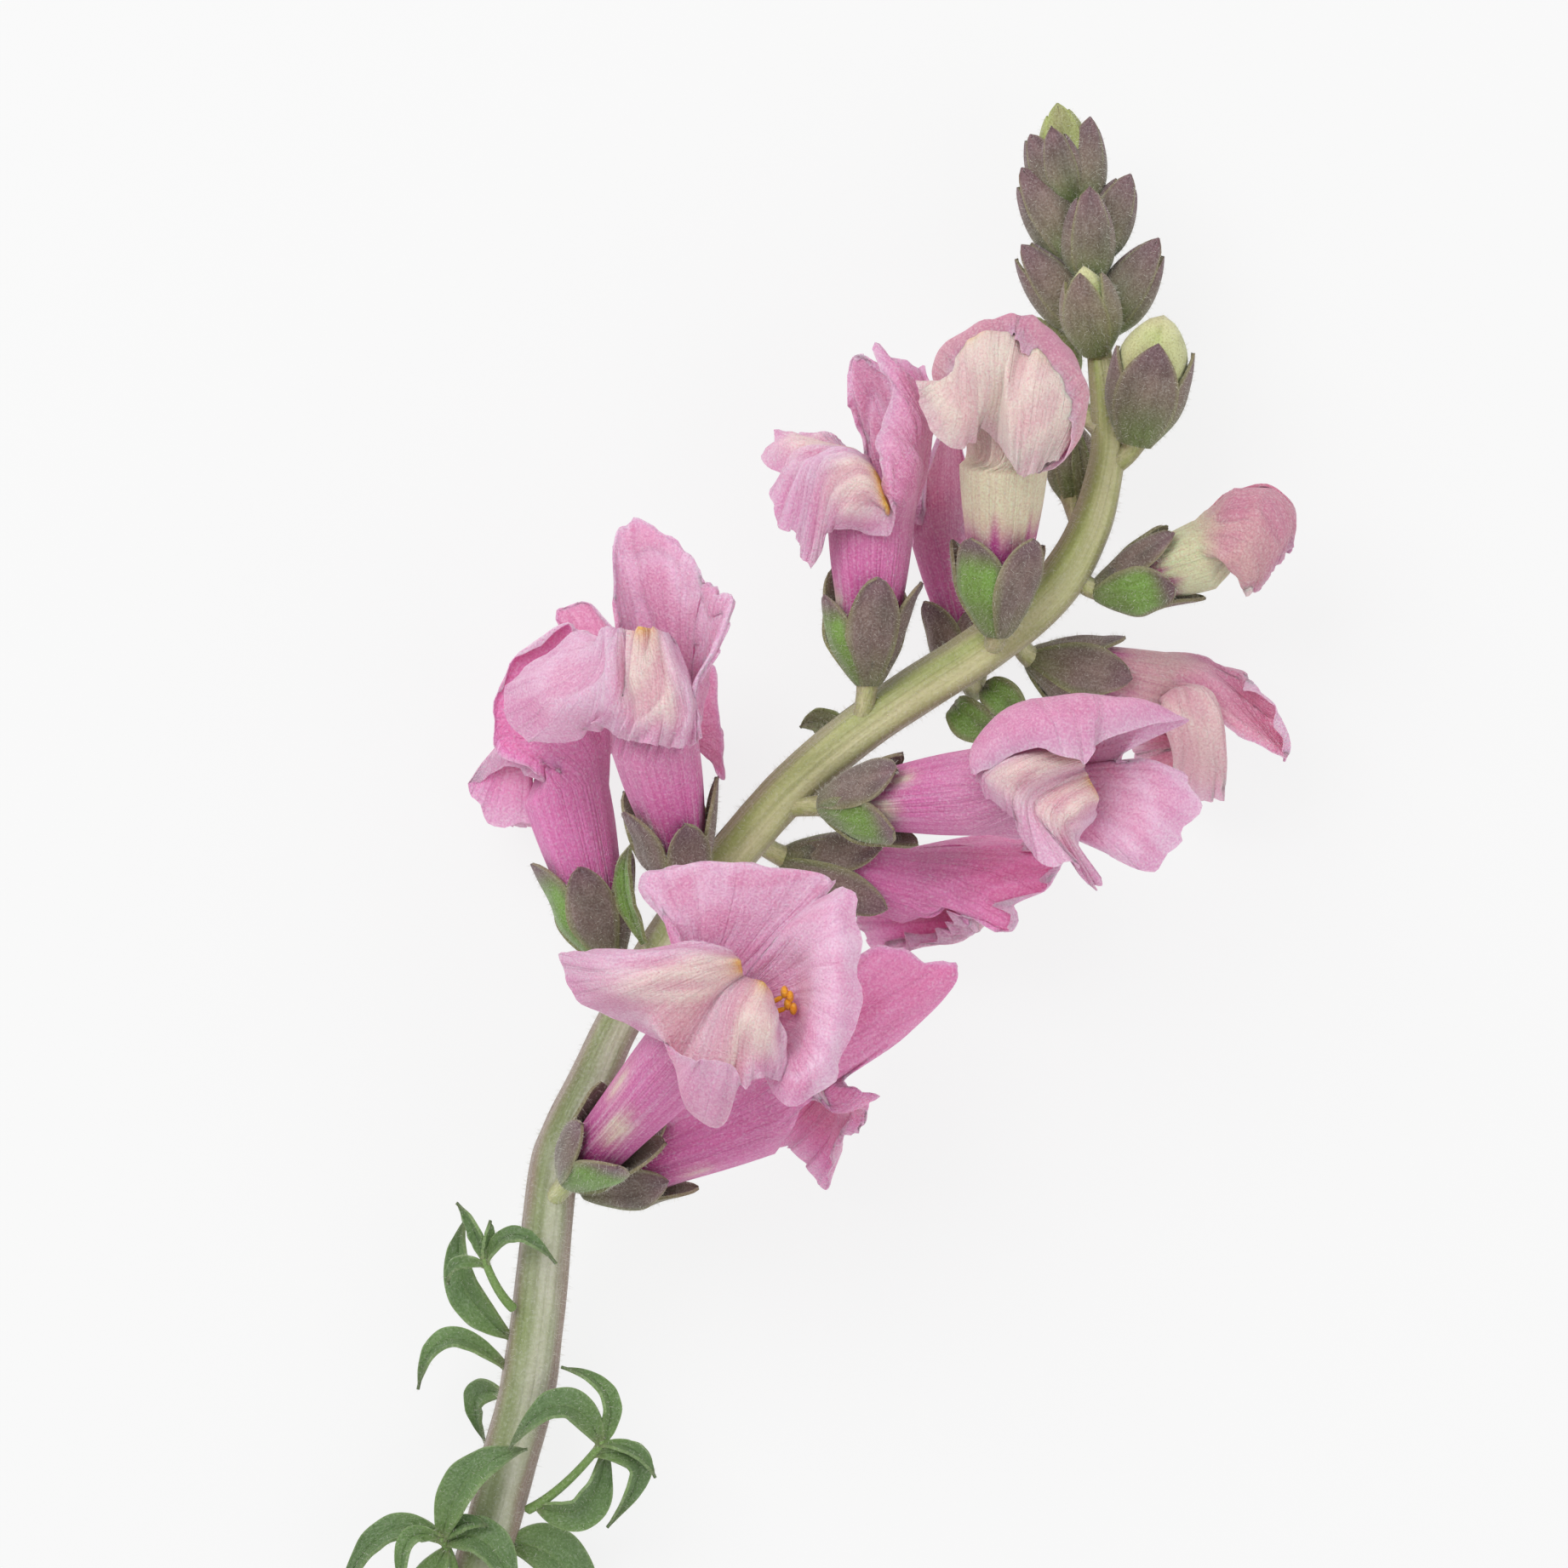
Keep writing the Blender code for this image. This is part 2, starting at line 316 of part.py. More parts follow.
            15: [(122.0, 95.0, 41.2), (128.2, 94.8, 43.4), (126.6, 96.4, 46.6), (125.8, 98.4, 45.6),
                 (127.8, 101.2, 42.5)],
            16: [(122.5, 95.5, 40.5), (127.8, 96.0, 42.0), (126.5, 98.0, 44.0), (126.0, 99.0, 43.2),
                 (126.0, 100.2, 41.5)],
            17: (124.5, 99.0, 39.0),
            18: [(121.0, 95.4, 38.0), (124.0, 96.6, 39.8), (126.2, 97.8, 41.0), (127.6, 98.8, 41.4),
                 (128.4, 99.6, 41.0)],
            19: [(121.4, 94.0, 37.0), (125.6, 95.0, 39.6), (129.4, 97.0, 41.8), (132.4, 99.6, 42.4),
                 (134.8, 102.2, 41.0)],
            20: [(121.5, 92.5, 36.0), (126.0, 92.6, 38.4), (130.6, 93.4, 40.6), (135.2, 95.2, 41.4),
                 (139.5, 97.2, 39.5)],
            21: [(121.5, 91.0, 35.5), (126.0, 90.4, 37.6), (130.5, 89.8, 39.4), (135.0, 89.6, 40.0),
                 (139.4, 90.6, 38.5)]}),
    "12": dict(
        foot=(95.0, 101.4, 15.5), mouth=(107.0, 104.0, 14.0), up=(0.0, -0.95, 0.3), joint=8.9,
        size=0.9, palate=0.8, rim={
            0: (121.0, 99.0, 19), 1: (124.0, 101.0, 22), 2: (123.0, 104.0, 23), 3: (119.0, 106.5, 22),
            4: (118.0, 109.6, 20), 5: (113.5, 107.6, 19), 6: (112.0, 108.0, 18), 7: (111.6, 110.6, 14),
            8: (108.2, 112.5, 11), 9: (106.0, 110.5, 10), 10: (103.5, 111.8, 8), 11: (101.0, 109.0, 7),
            12: (102.0, 107.0, 6), 13: (104.0, 106.0, 5), 14: (103.0, 104.0, 3), 15: (105.0, 101.0, 3),
            16: (109.0, 100.0, 4), 17: (112.0, 100.0, 7), 18: (116.0, 98.0, 5), 19: (120.0, 96.0, 6),
            20: (123.0, 96.0, 9), 21: (123.0, 97.0, 14)}),
}

# Buds: foot, tip, width. The first group sits on the bud head's own axis.
HEAD_SEPALS = 4
HEAD_AXIS = ((129.3, 42.2, 17.4, 1.5), (128.6, 37.0, 16.6, 1.7), (127.4, 30.0, 15.8, 1.7),
             (126.0, 22.0, 15.2, 1.5), (125.2, 17.0, 15.0, 1.2))
HEAD_BUDS = (
    ((129.0, 41.2, 18.2), (127.2, 30.2, 22.5), 6.8), ((128.0, 38.6, 16.8), (119.6, 28.2, 17.2), 5.8),
    ((129.6, 38.8, 16.4), (136.4, 27.9, 17.2), 5.8), ((128.0, 33.0, 16.8), (127.9, 21.9, 20.8), 5.8),
    ((127.0, 30.6, 16.0), (120.0, 19.4, 16.6), 6.0), ((128.2, 30.4, 15.8), (132.9, 20.2, 16.2), 5.4),
    ((126.0, 24.0, 15.6), (121.2, 15.2, 16.4), 5.2), ((126.6, 25.0, 15.6), (128.2, 13.7, 16.4), 5.4),
    ((126.0, 23.0, 16.2), (123.8, 14.4, 19.0), 5.0), ((125.4, 18.6, 15.0), (124.0, 12.3, 15.2), 5.2),
    ((128.2, 37.6, 15.4), (126.2, 27.0, 10.8), 5.8), ((126.8, 29.4, 15.0), (125.2, 20.0, 11.2), 5.4),
)
SIDE_BUDS = {
    "bud_01": dict(foot=(134.0, 51.4, 21.6), tip=(137.3, 36.2, 23.0), width=8.6, joint=2.1),
    "bud_02": dict(foot=(125.4, 45.4, 15.6), tip=(121.2, 37.2, 14.2), width=6.6, joint=1.4),
    "bud_03": dict(foot=(126.4, 58.6, 13.6), tip=(126.2, 49.4, 10.6), width=5.8, joint=3.0),
}

# Leaves: foot, a point that pulls the midrib, tip, width, which way the upper face looks
LEAF_THICKNESS = 0.66
LEAF_ROWS = 5
LEAF_FOLD = 0.32  # rise of the edge over the midrib, as a share of half the width
SHOOTS = {
    "leaf_01": dict(joint=18.25, leaves=(
        ("stem", (51.5, 152.0, 13.0), (54.4, 143.6, 14.0), 4.4, (-0.5, 0, 1)),)),
    "shoot_01": dict(joint=17.8, stalk=((58.0, 152.0, 18.2), (56.6, 147.6, 17.6)), leaves=(
        (0.85, (56.0, 144.5, 18.0), (53.5, 141.5, 18.5), 1.8, (-0.6, 0, 1)),
        (0.9, (60.0, 142.0, 21.0), (65.3, 148.6, 20.6), 2.2, (0, -0.7, 1)),
        (0.95, (57.4, 145.5, 18.7), (57.5, 143.6, 19.2), 1.6, (0.6, 0, 1)),
        (0.85, (52.4, 147.4, 17.0), (52.4, 151.2, 16.6), 1.6, (-1, 0, 1)),)),
    "leaf_02": dict(joint=18.65, leaves=(
        ("stem", (50.5, 153.4, 13.5), (48.8, 163.7, 12.0), 3.0, (-0.3, -0.8, 1)),)),
    "leaf_03": dict(joint=19.1, leaves=(
        ("stem", (53.6, 162.6, 5.0), (56.6, 170.4, 2.4), 3.4, (-0.8, 0, 1)),)),
    "shoot_04": dict(joint=20.5, stalk=((66.0, 176.0, 12.0), (71.0, 169.4, 16.0)), leaves=(
        (0.15, (70.5, 181.0, 11.0), (71.0, 169.4, 13.0), 5.0, (0.4, 0.6, 1)),
        (0.95, (66.5, 160.5, 19.0), (59.6, 170.6, 17.5), 4.2, (-0.2, -0.6, 1)),
        (0.9, (74.6, 163.0, 17.0), (65.8, 161.0, 14.0), 2.6, (0.7, -0.5, 1)),
        (0.85, (79.4, 169.6, 15.5), (71.2, 180.0, 13.0), 3.4, (0.7, 0.1, 1)),
        (0.95, (75.4, 169.8, 17.4), (76.9, 174.0, 15.6), 1.8, (0.5, -0.5, 1)),)),
    "shoot_05": dict(joint=21.6, stalk=((53.0, 183.5, 10.5), (51.4, 181.0, 12.6)), leaves=(
        (0.9, (53.4, 172.0, 16.0), (61.8, 170.6, 16.0), 4.8, (-0.5, -0.3, 1)),
        (0.85, (44.0, 176.0, 13.0), (39.0, 190.0, 8.0), 3.6, (-0.3, -0.6, 1)),
        (0.95, (45.6, 178.6, 16.0), (47.4, 189.0, 14.0), 2.4, (-0.7, 0, 1)),
        (0.9, (54.0, 178.4, 14.0), (57.2, 179.8, 14.0), 2.2, (0, -0.5, 1)),
        (0.8, (58.0, 178.0, 14.5), (60.6, 190.0, 12.0), 5.0, (0.4, -0.4, 1)),
        (0.7, (48.5, 189.0, 12.5), (44.0, 199.0, 6.0), 4.6, (-0.4, 0.2, 1)),)),
    "leaf_06": dict(joint=21.1, leaves=(
        ("stem", (66.5, 180.5, 8.0), (71.0, 196.0, 1.2), 6.4, (0.4, -0.3, 1)),)),
    "leaf_07": dict(joint=22.3, leaves=(
        ("stem", (42.0, 190.0, 5.0), (36.5, 203.0, 1.0), 5.6, (-0.3, -0.3, 1)),)),
}

LOOKS = {
    "petal": ((0.72, 0.36, 0.55), 0.55),
    "sepal": ((0.22, 0.19, 0.15), 0.6),
    "stem": ((0.36, 0.42, 0.2), 0.5),
    "leaf": ((0.15, 0.28, 0.12), 0.5),
    "stamen": ((0.85, 0.5, 0.08), 0.6),
}


def place(point):
    """Plan millimetres to the part's frame, still in millimetres."""
    x, y, z = point
    return Vector((x - PLAN_CENTRE[0], PLAN_CENTRE[1] - y, z))


def direction(vector):
    """A plan direction (y down) as a unit vector of the part's frame."""
    x, y, z = vector
    return Vector((x, -y, z)).normalized()


def through(values, t):
    """A smooth curve through evenly spaced values (numbers or vectors), read at t from 0 to 1."""
    spans = len(values) - 1
    i = min(int(t * spans), spans - 1)
    f = t * spans - i
    a, b = values[i], values[i + 1]
    before = values[i - 1] if i > 0 else a * 2 - b
    after = values[i + 2] if i + 2 <= spans else b * 2 - a
    ease = f * f * (3 - 2 * f)
    leave = f * (1 - f) * (1 - f) / 2
    arrive = f * f * (f - 1) / 2
    return a * (1 - ease) + b * ease + (b - before) * leave + (after - a) * arrive


def bezier(points, t):
    """A point on the Bezier curve that the given points pull."""
    while len(points) > 1:
        points = [a.lerp(b, t) for a, b in zip(points, points[1:])]
    return points[0]


def look(name):
    colour, roughness = LOOKS[name]
    material = bpy.data.materials.new(name)
    material.use_nodes = True
    shader = material.node_tree.nodes["Principled BSDF"]
    shader.inputs["Base Color"].default_value = (*colour, 1.0)
    shader.inputs["Roughness"].default_value = roughness
    shader.inputs["Metallic"].default_value = 0.0
    return material


def new_object(name, bm, material, group):
    """Write a bmesh that is in millimetres as an object in metres."""
    bmesh.ops.scale(bm, vec=(MM, MM, MM), verts=bm.verts)
    mesh = bpy.data.meshes.new(name)
    bm.to_mesh(mesh)
    bm.free()
    obj = bpy.data.objects.new(name, mesh)
    group.objects.link(obj)
    mesh.materials.append(look(material))
    return obj


def apply_modifiers(obj):
    graph = bpy.context.evaluated_depsgraph_get()
    mesh = bpy.data.meshes.new_from_object(obj.evaluated_get(graph))
    obj.modifiers.clear()
    obj.data = mesh


def grid(columns, rows, form, closed):
    """A grid shaped by form(u, v) and split into triangles.

    A closed one meets itself at u = 0 and u = 1 and narrows to one point where form does."""
    bm = bmesh.new()
    bmesh.ops.create_grid(bm, x_segments=columns, y_segments=rows, size=0.5)
    for vert in bm.verts:
        vert.co = form(vert.co.x + 0.5, vert.co.y + 0.5)
    if closed:
        bmesh.ops.remove_doubles(bm, verts=bm.verts, dist=0.001)
    bmesh.ops.triangulate(bm, faces=bm.faces, quad_method="FIXED")
    bmesh.ops.recalc_face_normals(bm, faces=bm.faces)
    if closed and bm.calc_volume(signed=True) < 0:
        bmesh.ops.reverse_faces(bm, faces=bm.faces)
    return bm


def sheet(name, columns, rows, form, thickness, material, group, closed=False):
    """A shaped grid with its thickness."""
    obj = new_object(name, grid(columns, rows, form, closed), material, group)
    wall = obj.modifiers.new("Thickness", "SOLIDIFY")
    wall.thickness = thickness * MM
    wall.offset = 0.0
    wall.use_rim = True
    apply_modifiers(obj)
    return obj


def rod(name, path, radii, sides, material, group):
    """A round rod along a smooth path, with closed ends."""
    curve = bpy.data.curves.new(name, "CURVE")
    curve.dimensions = "3D"
    curve.bevel_depth = MM
    curve.bevel_resolution = sides // 2 - 2
    curve.use_fill_caps = True
    spline = curve.splines.new("POLY")
    spline.points.add(len(path) - 1)
    for knot, point, radius in zip(spline.points, path, radii):
        knot.co = (*(point * MM), 1.0)
        knot.radius = radius
    wire = bpy.data.objects.new(name, curve)
    group.objects.link(wire)
    graph = bpy.context.evaluated_depsgraph_get()
    mesh = bpy.data.meshes.new_from_object(wire.evaluated_get(graph))
    bm = bmesh.new()
    bm.from_mesh(mesh)
    bmesh.ops.remove_doubles(bm, verts=bm.verts, dist=1e-7)
    bmesh.ops.recalc_face_normals(bm, faces=bm.faces)
    bm.to_mesh(mesh)
    bm.free()
    mesh.materials.clear()
    mesh.materials.append(look(material))
    bpy.data.objects.remove(wire)
    obj = bpy.data.objects.new(name, mesh)
    group.objects.link(obj)
    return obj


def join(first, others):
    """One Boolean union of an object with all the others."""
    if not others:
        return first
    tools = bpy.data.collections.new("tools")
    for other in others:
        for owner in list(other.users_collection):
            owner.objects.unlink(other)
        tools.objects.link(other)
    union = first.modifiers.new("Union", "BOOLEAN")
    union.operation = "UNION"
    union.operand_type = "COLLECTION"
    union.collection = tools
    union.solver = "MANIFOLD"
    apply_modifiers(first)
    for other in list(tools.objects):
        bpy.data.objects.remove(other)
    bpy.data.collections.remove(tools)
    return first


class Tube:
    """A flattened round body along an axis, which petals grow from and sepals lie on."""

    def __init__(self, foot, mouth, up, radii, pouch=0.0, size=1.0):
        self.foot = place(foot)
        self.mouth = place(mouth)
        self.forward = (self.mouth - self.foot).normalized()
        self.length = (self.mouth - self.foot).length
        up = direction(up)
        self.up = (up - self.forward * up.dot(self.forward)).normalized()
        self.side = self.forward.cross(self.up)
        self.radii = [radius * size for radius in radii]
        self.pouch = pouch * size

    def outward(self, turn):
        return self.up * cos(radians(turn)) + self.side * sin(radians(turn))

    def radius(self, turn, along):
        low = max(0.0, -cos(radians(turn)))
        swelling = self.pouch * low * exp(-((along - 0.12) / 0.16) ** 2)
        return through(self.radii, max(0.0, min(along, 1.0))) + swelling

    def point(self, turn, along, lift=0.0):
        centre = self.foot + self.forward * (self.length * along)
        return centre + self.outward(turn) * (self.radius(turn, along) + lift)


def settled(point, floor=PETAL_FLOOR):
    """Bend what would pass below the surface so that it lies on it."""
    if point.z < floor + 2.0:
        depth = point.z - floor
        point.z = floor + (0.0 if depth < -2.0 else (depth + 2.0) ** 2 / 8.0)
    return point


def eased(low, high, value):
    """A smooth step from 0 to 1 between low and high."""
    share = min(max((value - low) / (high - low), 0.0), 1.0)
    return share * share * (3 - 2 * share)


def upper_way(tube, turn, edge, over, size):
    """Knots from the mouth to an edge of the upper lip, in an arch."""
    start = tube.point(turn, 1.0)
    lead = (tube.forward * cos(FLARE) + tube.outward(turn) * sin(FLARE)) * (edge - start).length * LEAD
    beyond = edge + (tube.forward * over[0] + tube.up * over[1]) * size
    return [bezier([start, start + lead, beyond, edge], k / LIP_ROWS) for k in range(LIP_ROWS + 1)]


def lower_way(tube, turn, edge, pillows, puff, size):
    """Knots from the mouth over the palate to an edge of the lower lip."""
    swell = puff * sum(exp(-((turn - pillow) / PILLOW_WIDTH) ** 2) for pillow in pillows)
    knots = [tube.point(turn, 1.0)]
    for forward, up, wide, swell_forward, swell_up in PALATE_FORM:
        ahead = tube.forward * (forward + swell_forward * swell)
        rise = tube.up * (up + swell_up * swell)
        knots.append(tube.mouth + (ahead + rise + tube.side * wide * sin(radians(turn))) * size)
    share, forward = LAST_FOLD
    knots.append(knots[-1].lerp(edge, share) + tube.forward * forward * size)
    knots.append(edge)
    return knots


def lip_net(bloom, tube, size):
    """Knots from the mouth to the edge of the lips, for each point of the rim."""
    net = []
    for i, turn in enumerate(RIM_TURNS):
        given = bloom["rim"].get(i)
        if given is None:
            forward, up, side = RIM_FORM[i]
            given = [tube.mouth + (tube.forward * forward + tube.up * up + tube.side * side) * size]
        else:
            given = [place(spot) for spot in (given if isinstance(given, list) else [given])]
        edge = given[-1]
        upper = upper_way(tube, turn, edge, bloom.get("over", OVER), size)
        lower = lower_way(tube, turn, edge, bloom.get("pillows", PILLOWS), bloom["palate"], size)
        lip = eased(*LIP_TURNS, 180 - abs(turn - 180))
        knots = [a.lerp(b, lip) for a, b in zip(upper, lower)]
        knots[LIP_ROWS + 1 - len(given):] = given
        net.append(knots)
    return net


def corolla(name, bloom, group):
    """The tube and both lips of a bloom as one sheet."""
    size = bloom.get("size", 1.0)
    tube = Tube(bloom["foot"], bloom["mouth"], bloom["up"], TUBE_RADII, POUCH, size)
    net = lip_net(bloom, tube, size)
    columns = len(net)
    rows = len(TUBE_ROWS) + LIP_ROWS

    def form(u, v):
        column = round(u * columns) % columns
        step = round(v * rows)
        if step == 0:
            return tube.foot - tube.forward * 0.1
        if step <= len(TUBE_ROWS):
            return settled(tube.point(RIM_TURNS[column], TUBE_ROWS[step - 1]))
        return settled(net[column][step - len(TUBE_ROWS)])

    return sheet(name, columns, rows, form, PETAL_THICKNESS, "petal", group, closed=True)


def sepal_rim(column, sepals, length):
    """Where a calyx's rim passes in a column: turn and height. Four columns make one sepal."""
    number, part = divmod(column, 4)
    middle = 360 / sepals * (number + 0.5)
    long = length * (1.0 + 0.09 * sin(2.4 * number + length))
    spots = ((-180 / sepals, 0.07), (-SEPAL_TURN, 0.6), (0, 1.0), (SEPAL_TURN, 0.6))
    turn, share = spots[part]
    return middle + turn, long * share


def calyx(name, bloom, group):
    """Five sepals that rise from a small cup and lie on the foot of the tube."""
    size = bloom.get("size", 1.0)
    tube = Tube(bloom["foot"], bloom["mouth"], bloom["up"], TUBE_RADII, POUCH, size)
    cup = CUP_RADIUS - (1 - size) * TUBE_RADII[0]
    lift = GAP + (PETAL_THICKNESS + SEPAL_THICKNESS) / 2 + 0.15
    columns = SEPALS * 4
    rows = 3

    def form(u, v):
        length = SEPAL_LENGTH * (0.5 + 0.5 * size)
        turn, height = sepal_rim(round(u * columns) % columns, SEPALS, length)
        step = round(v * rows)
        if step == 0:
            return tube.foot - tube.forward * CUP_DEPTH
        if step == 1:
            return settled(tube.foot - tube.forward * 0.6 + tube.outward(turn) * cup, 0.45)
        along = height * (0.5 if step == 2 else 1.0)
        spread = lift + 0.9 * (along / SEPAL_LENGTH) ** 2
        return settled(tube.point(turn, along / tube.length, spread), 0.45)

    return sheet(name, columns, rows, form, SEPAL_THICKNESS, "sepal", group, closed=True)


def bud(name, foot, tip, width, sepals, group):
    """A closed bud as one solid: pointed sepals that stand out round a smooth dome."""
    low, high = place(foot), place(tip)
    ahead = (high - low).normalized()
    length = (high - low).length
    side = ahead.orthogonal().normalized()
    face = ahead.cross(side)
    columns = sepals * 4

    def form(u, v):
        turn, height = sepal_rim(round(u * columns) % columns, sepals, 1.0)
        outward = side * cos(radians(turn)) + face * sin(radians(turn))
        rise = 0.45 + 0.5 * height
        rings = ((-0.04, 0.0), (0.08, 0.26), (0.36, 0.5), (rise, 0.52 - 0.34 * max(0.0, height) ** 2),
                 (0.5 + 0.2 * height, 0.34 - 0.16 * height), (0.82, 0.0))
        along, radius = rings[round(v * (len(rings) - 1))]
        return low + ahead * length * along + outward * width * radius

    return new_object(name, grid(columns, 5, form, True), "sepal", group)


def leaf(name, spec, group, low):
    """A narrow leaf folded a little along its midrib, from the point low."""
    pull, tip, width, facing = spec
    middle, high = place(pull), place(tip)
    face = direction(facing)

    def form(u, v):
        across = (u - 0.5) * 2
        spine = bezier([low, middle, high], v)
        ahead = ((middle - low).lerp(high - middle, v)).normalized()
        side = ahead.cross(face).normalized()
        rise = side.cross(ahead).normalized()
        half = 0.5 * width * max(0.14, sin(pi * (0.02 + 0.95 * v) ** 0.85))
        return settled(spine + side * across * half + rise * (LEAF_FOLD * half * abs(across)), 0.4)

    return sheet(name, 2, LEAF_ROWS, form, LEAF_THICKNESS, "leaf", group)


def stem_knot(at):
    """The stem's middle and radius at a knot number, whole or in between."""
    i = min(int(at), len(STEM_PATH) - 2)
    a, b = STEM_PATH[i], STEM_PATH[i + 1]
    return place(a[:3]).lerp(place(b[:3]), at - i), a[3] + (b[3] - a[3]) * (at - i)


def seat(joint, pull, room):
    """The point beside the stem, clear of it, from which something grows towards pull."""
    middle, radius = stem_knot(joint)
    knot = stem_knot(joint + 0.1)[0]
    along = (knot - middle).normalized()
    aim = place(pull) - middle
    aim = (aim - along * aim.dot(along)).normalized()
    return middle + aim * (radius + GAP + room)


def shoot(name, spec, group):
    """A leaf or a small leafy side shoot, a hair's breadth off the stem that it grows from."""
    pieces = []
    if "stalk" in spec:
        middle, high = spec["stalk"]
        pull = [seat(spec["joint"], middle, 0.3), place(middle), place(high)]
        path = [bezier(pull, k / 4) for k in range(5)]
        pieces.append(rod(name, path, [0.9 - 0.05 * k for k in range(5)], 6, "leaf", group))
    for i, blade in enumerate(spec["leaves"]):
        low = seat(spec["joint"], blade[1], 0.5) if blade[0] == "stem" else bezier(pull, blade[0])
        pieces.append(leaf(f"{name}_{i}" if pieces else name, blade[1:], group, low))
    return join(pieces[0], pieces[1:])


def stem(group):
    """The stem with the stalk of every bloom and lower bud."""
    knots = [place(knot[:3]) for knot in STEM_PATH]
    radii = [Vector((knot[3], 0)) for knot in STEM_PATH]
    steps = 22
    path = [through(knots, k / steps) for k in range(steps + 1)]
    sizes = [through(radii, k / steps).x for k in range(steps + 1)]
    body = rod("stem", path, sizes, 10, "stem", group)
    stalks = []
    for number, bloom in BLOOMS.items():
        tube = Tube(bloom["foot"], bloom["mouth"], bloom["up"], TUBE_RADII)
        end = tube.foot - tube.forward * (CUP_DEPTH + SEPAL_THICKNESS / 2 + GAP)
        stalks.append(stalk(f"stalk_{number}", stem_knot(bloom["joint"])[0], end, tube.forward, group))
    for name, spec in SIDE_BUDS.items():
        low, high = place(spec["foot"]), place(spec["tip"])
        ahead = (high - low).normalized()
        end = low - ahead * (0.04 * (high - low).length + GAP)
        stalks.append(stalk(f"stalk_{name}", stem_knot(spec["joint"])[0], end, ahead, group))
    return join(body, stalks)


def stalk(name, start, end, ahead, group):
    reach = (end - start).length
    path = [bezier([start, end - ahead * reach * 0.5, end], k / 3) for k in range(4)]
    return rod(name, path, [PEDICEL_RADIUS] * 4, 6, "stem", group)


def stamens(name, bloom, group):
    """The filaments that rise from the foot of the tube, with their anthers in the throat."""
    tube = Tube(bloom["foot"], bloom["mouth"], bloom["up"], TUBE_RADII)
    low = tube.foot + tube.forward * (GAP + PETAL_THICKNESS)
    pieces = []
    for i, (forward, up, side) in enumerate(ANTHERS):
        high = tube.mouth + tube.forward * forward + tube.up * up + tube.side * side
        pull = [low, tube.foot.lerp(tube.mouth, 0.95), high]
        path = [bezier(pull, k / 4) for k in range(5)]
        thread = rod(f"{name}_{i}" if i else name, path, [FILAMENT_RADIUS] * 5, 6, "stamen", group)
        bm = bmesh.new()
        bmesh.ops.create_uvsphere(bm, u_segments=6, v_segments=4, radius=ANTHER_RADIUS)
        bmesh.ops.scale(bm, vec=(1.0, 1.0, 1.5), verts=bm.verts)
        bm.transform(Matrix.Translation(high))
        pieces += [thread, new_object(f"{name}_anther_{i}", bm, "stamen", group)]
    return join(pieces[0], pieces[1:])


def bud_head(group):
    """The crowded closed buds at the tip, grown together on their axis."""
    axis = rod("bud_head", [place(knot[:3]) for knot in HEAD_AXIS], [knot[3] for knot in HEAD_AXIS],
               6, "sepal", group)
    buds = [bud(f"head_{i}", *spec, HEAD_SEPALS, group) for i, spec in enumerate(HEAD_BUDS)]
    return join(axis, buds)


def main():
    for old in list(bpy.data.objects):
        bpy.data.objects.remove(old)
    group = bpy.data.collections.new("snapdragon_spike")
    bpy.context.scene.collection.children.link(group)
    stem(group)
    for number, bloom in BLOOMS.items():
        corolla(f"corolla_{number}", bloom, group)
        calyx(f"calyx_{number}", bloom, group)
    stamens("stamens_01", BLOOMS["01"], group)
    bud_head(group)
    for name, spec in SIDE_BUDS.items():
        bud(name, spec["foot"], spec["tip"], spec["width"], SEPALS, group)
    for name, spec in SHOOTS.items():
        shoot(name, spec, group)


main()
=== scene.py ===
# Snapdragon flower spike: fine petals, sepals, buds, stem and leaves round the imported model.
# Places are plan millimetres, as in the model's own source: x to the right, y down the plan,
# z up from the surface. place() turns them into the model's frame.

import bpy
import json
import numpy as np
from math import cos, exp, pi, radians, sin, sqrt
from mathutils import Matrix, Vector, noise

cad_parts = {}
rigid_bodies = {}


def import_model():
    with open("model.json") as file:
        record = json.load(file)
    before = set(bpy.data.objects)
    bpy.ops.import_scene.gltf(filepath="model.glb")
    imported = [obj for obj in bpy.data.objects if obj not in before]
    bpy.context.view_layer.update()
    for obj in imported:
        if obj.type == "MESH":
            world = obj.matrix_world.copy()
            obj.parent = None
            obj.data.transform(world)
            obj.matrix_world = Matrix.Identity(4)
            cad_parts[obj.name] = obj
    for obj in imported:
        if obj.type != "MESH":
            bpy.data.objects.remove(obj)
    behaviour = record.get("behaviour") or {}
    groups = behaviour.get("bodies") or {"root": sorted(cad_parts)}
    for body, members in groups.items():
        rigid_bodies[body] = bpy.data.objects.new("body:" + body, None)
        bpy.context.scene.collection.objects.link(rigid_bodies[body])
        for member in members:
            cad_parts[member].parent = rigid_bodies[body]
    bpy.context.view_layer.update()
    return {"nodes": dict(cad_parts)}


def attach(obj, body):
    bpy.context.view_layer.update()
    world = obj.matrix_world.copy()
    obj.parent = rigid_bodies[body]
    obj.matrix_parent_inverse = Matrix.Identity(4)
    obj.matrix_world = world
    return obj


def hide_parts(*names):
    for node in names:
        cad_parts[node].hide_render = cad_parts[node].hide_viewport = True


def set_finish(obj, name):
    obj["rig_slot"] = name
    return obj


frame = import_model()
print("frame loaded:", len(frame["nodes"]), "nodes")

mm = 0.001
oneRadian = 57.3  # in degrees
planCentre = (94.29, 107.71)  # the plan point that lies over the origin
viewCentre = (92.1, 92.1)  # the plan point in the middle of the picture
viewWidth = 184.2


# Small tools

def place(point):
    return Vector((point[0] - planCentre[0], planCentre[1] - point[1], point[2]))


def direction(vector):
    return Vector((vector[0], -vector[1], vector[2])).normalized()


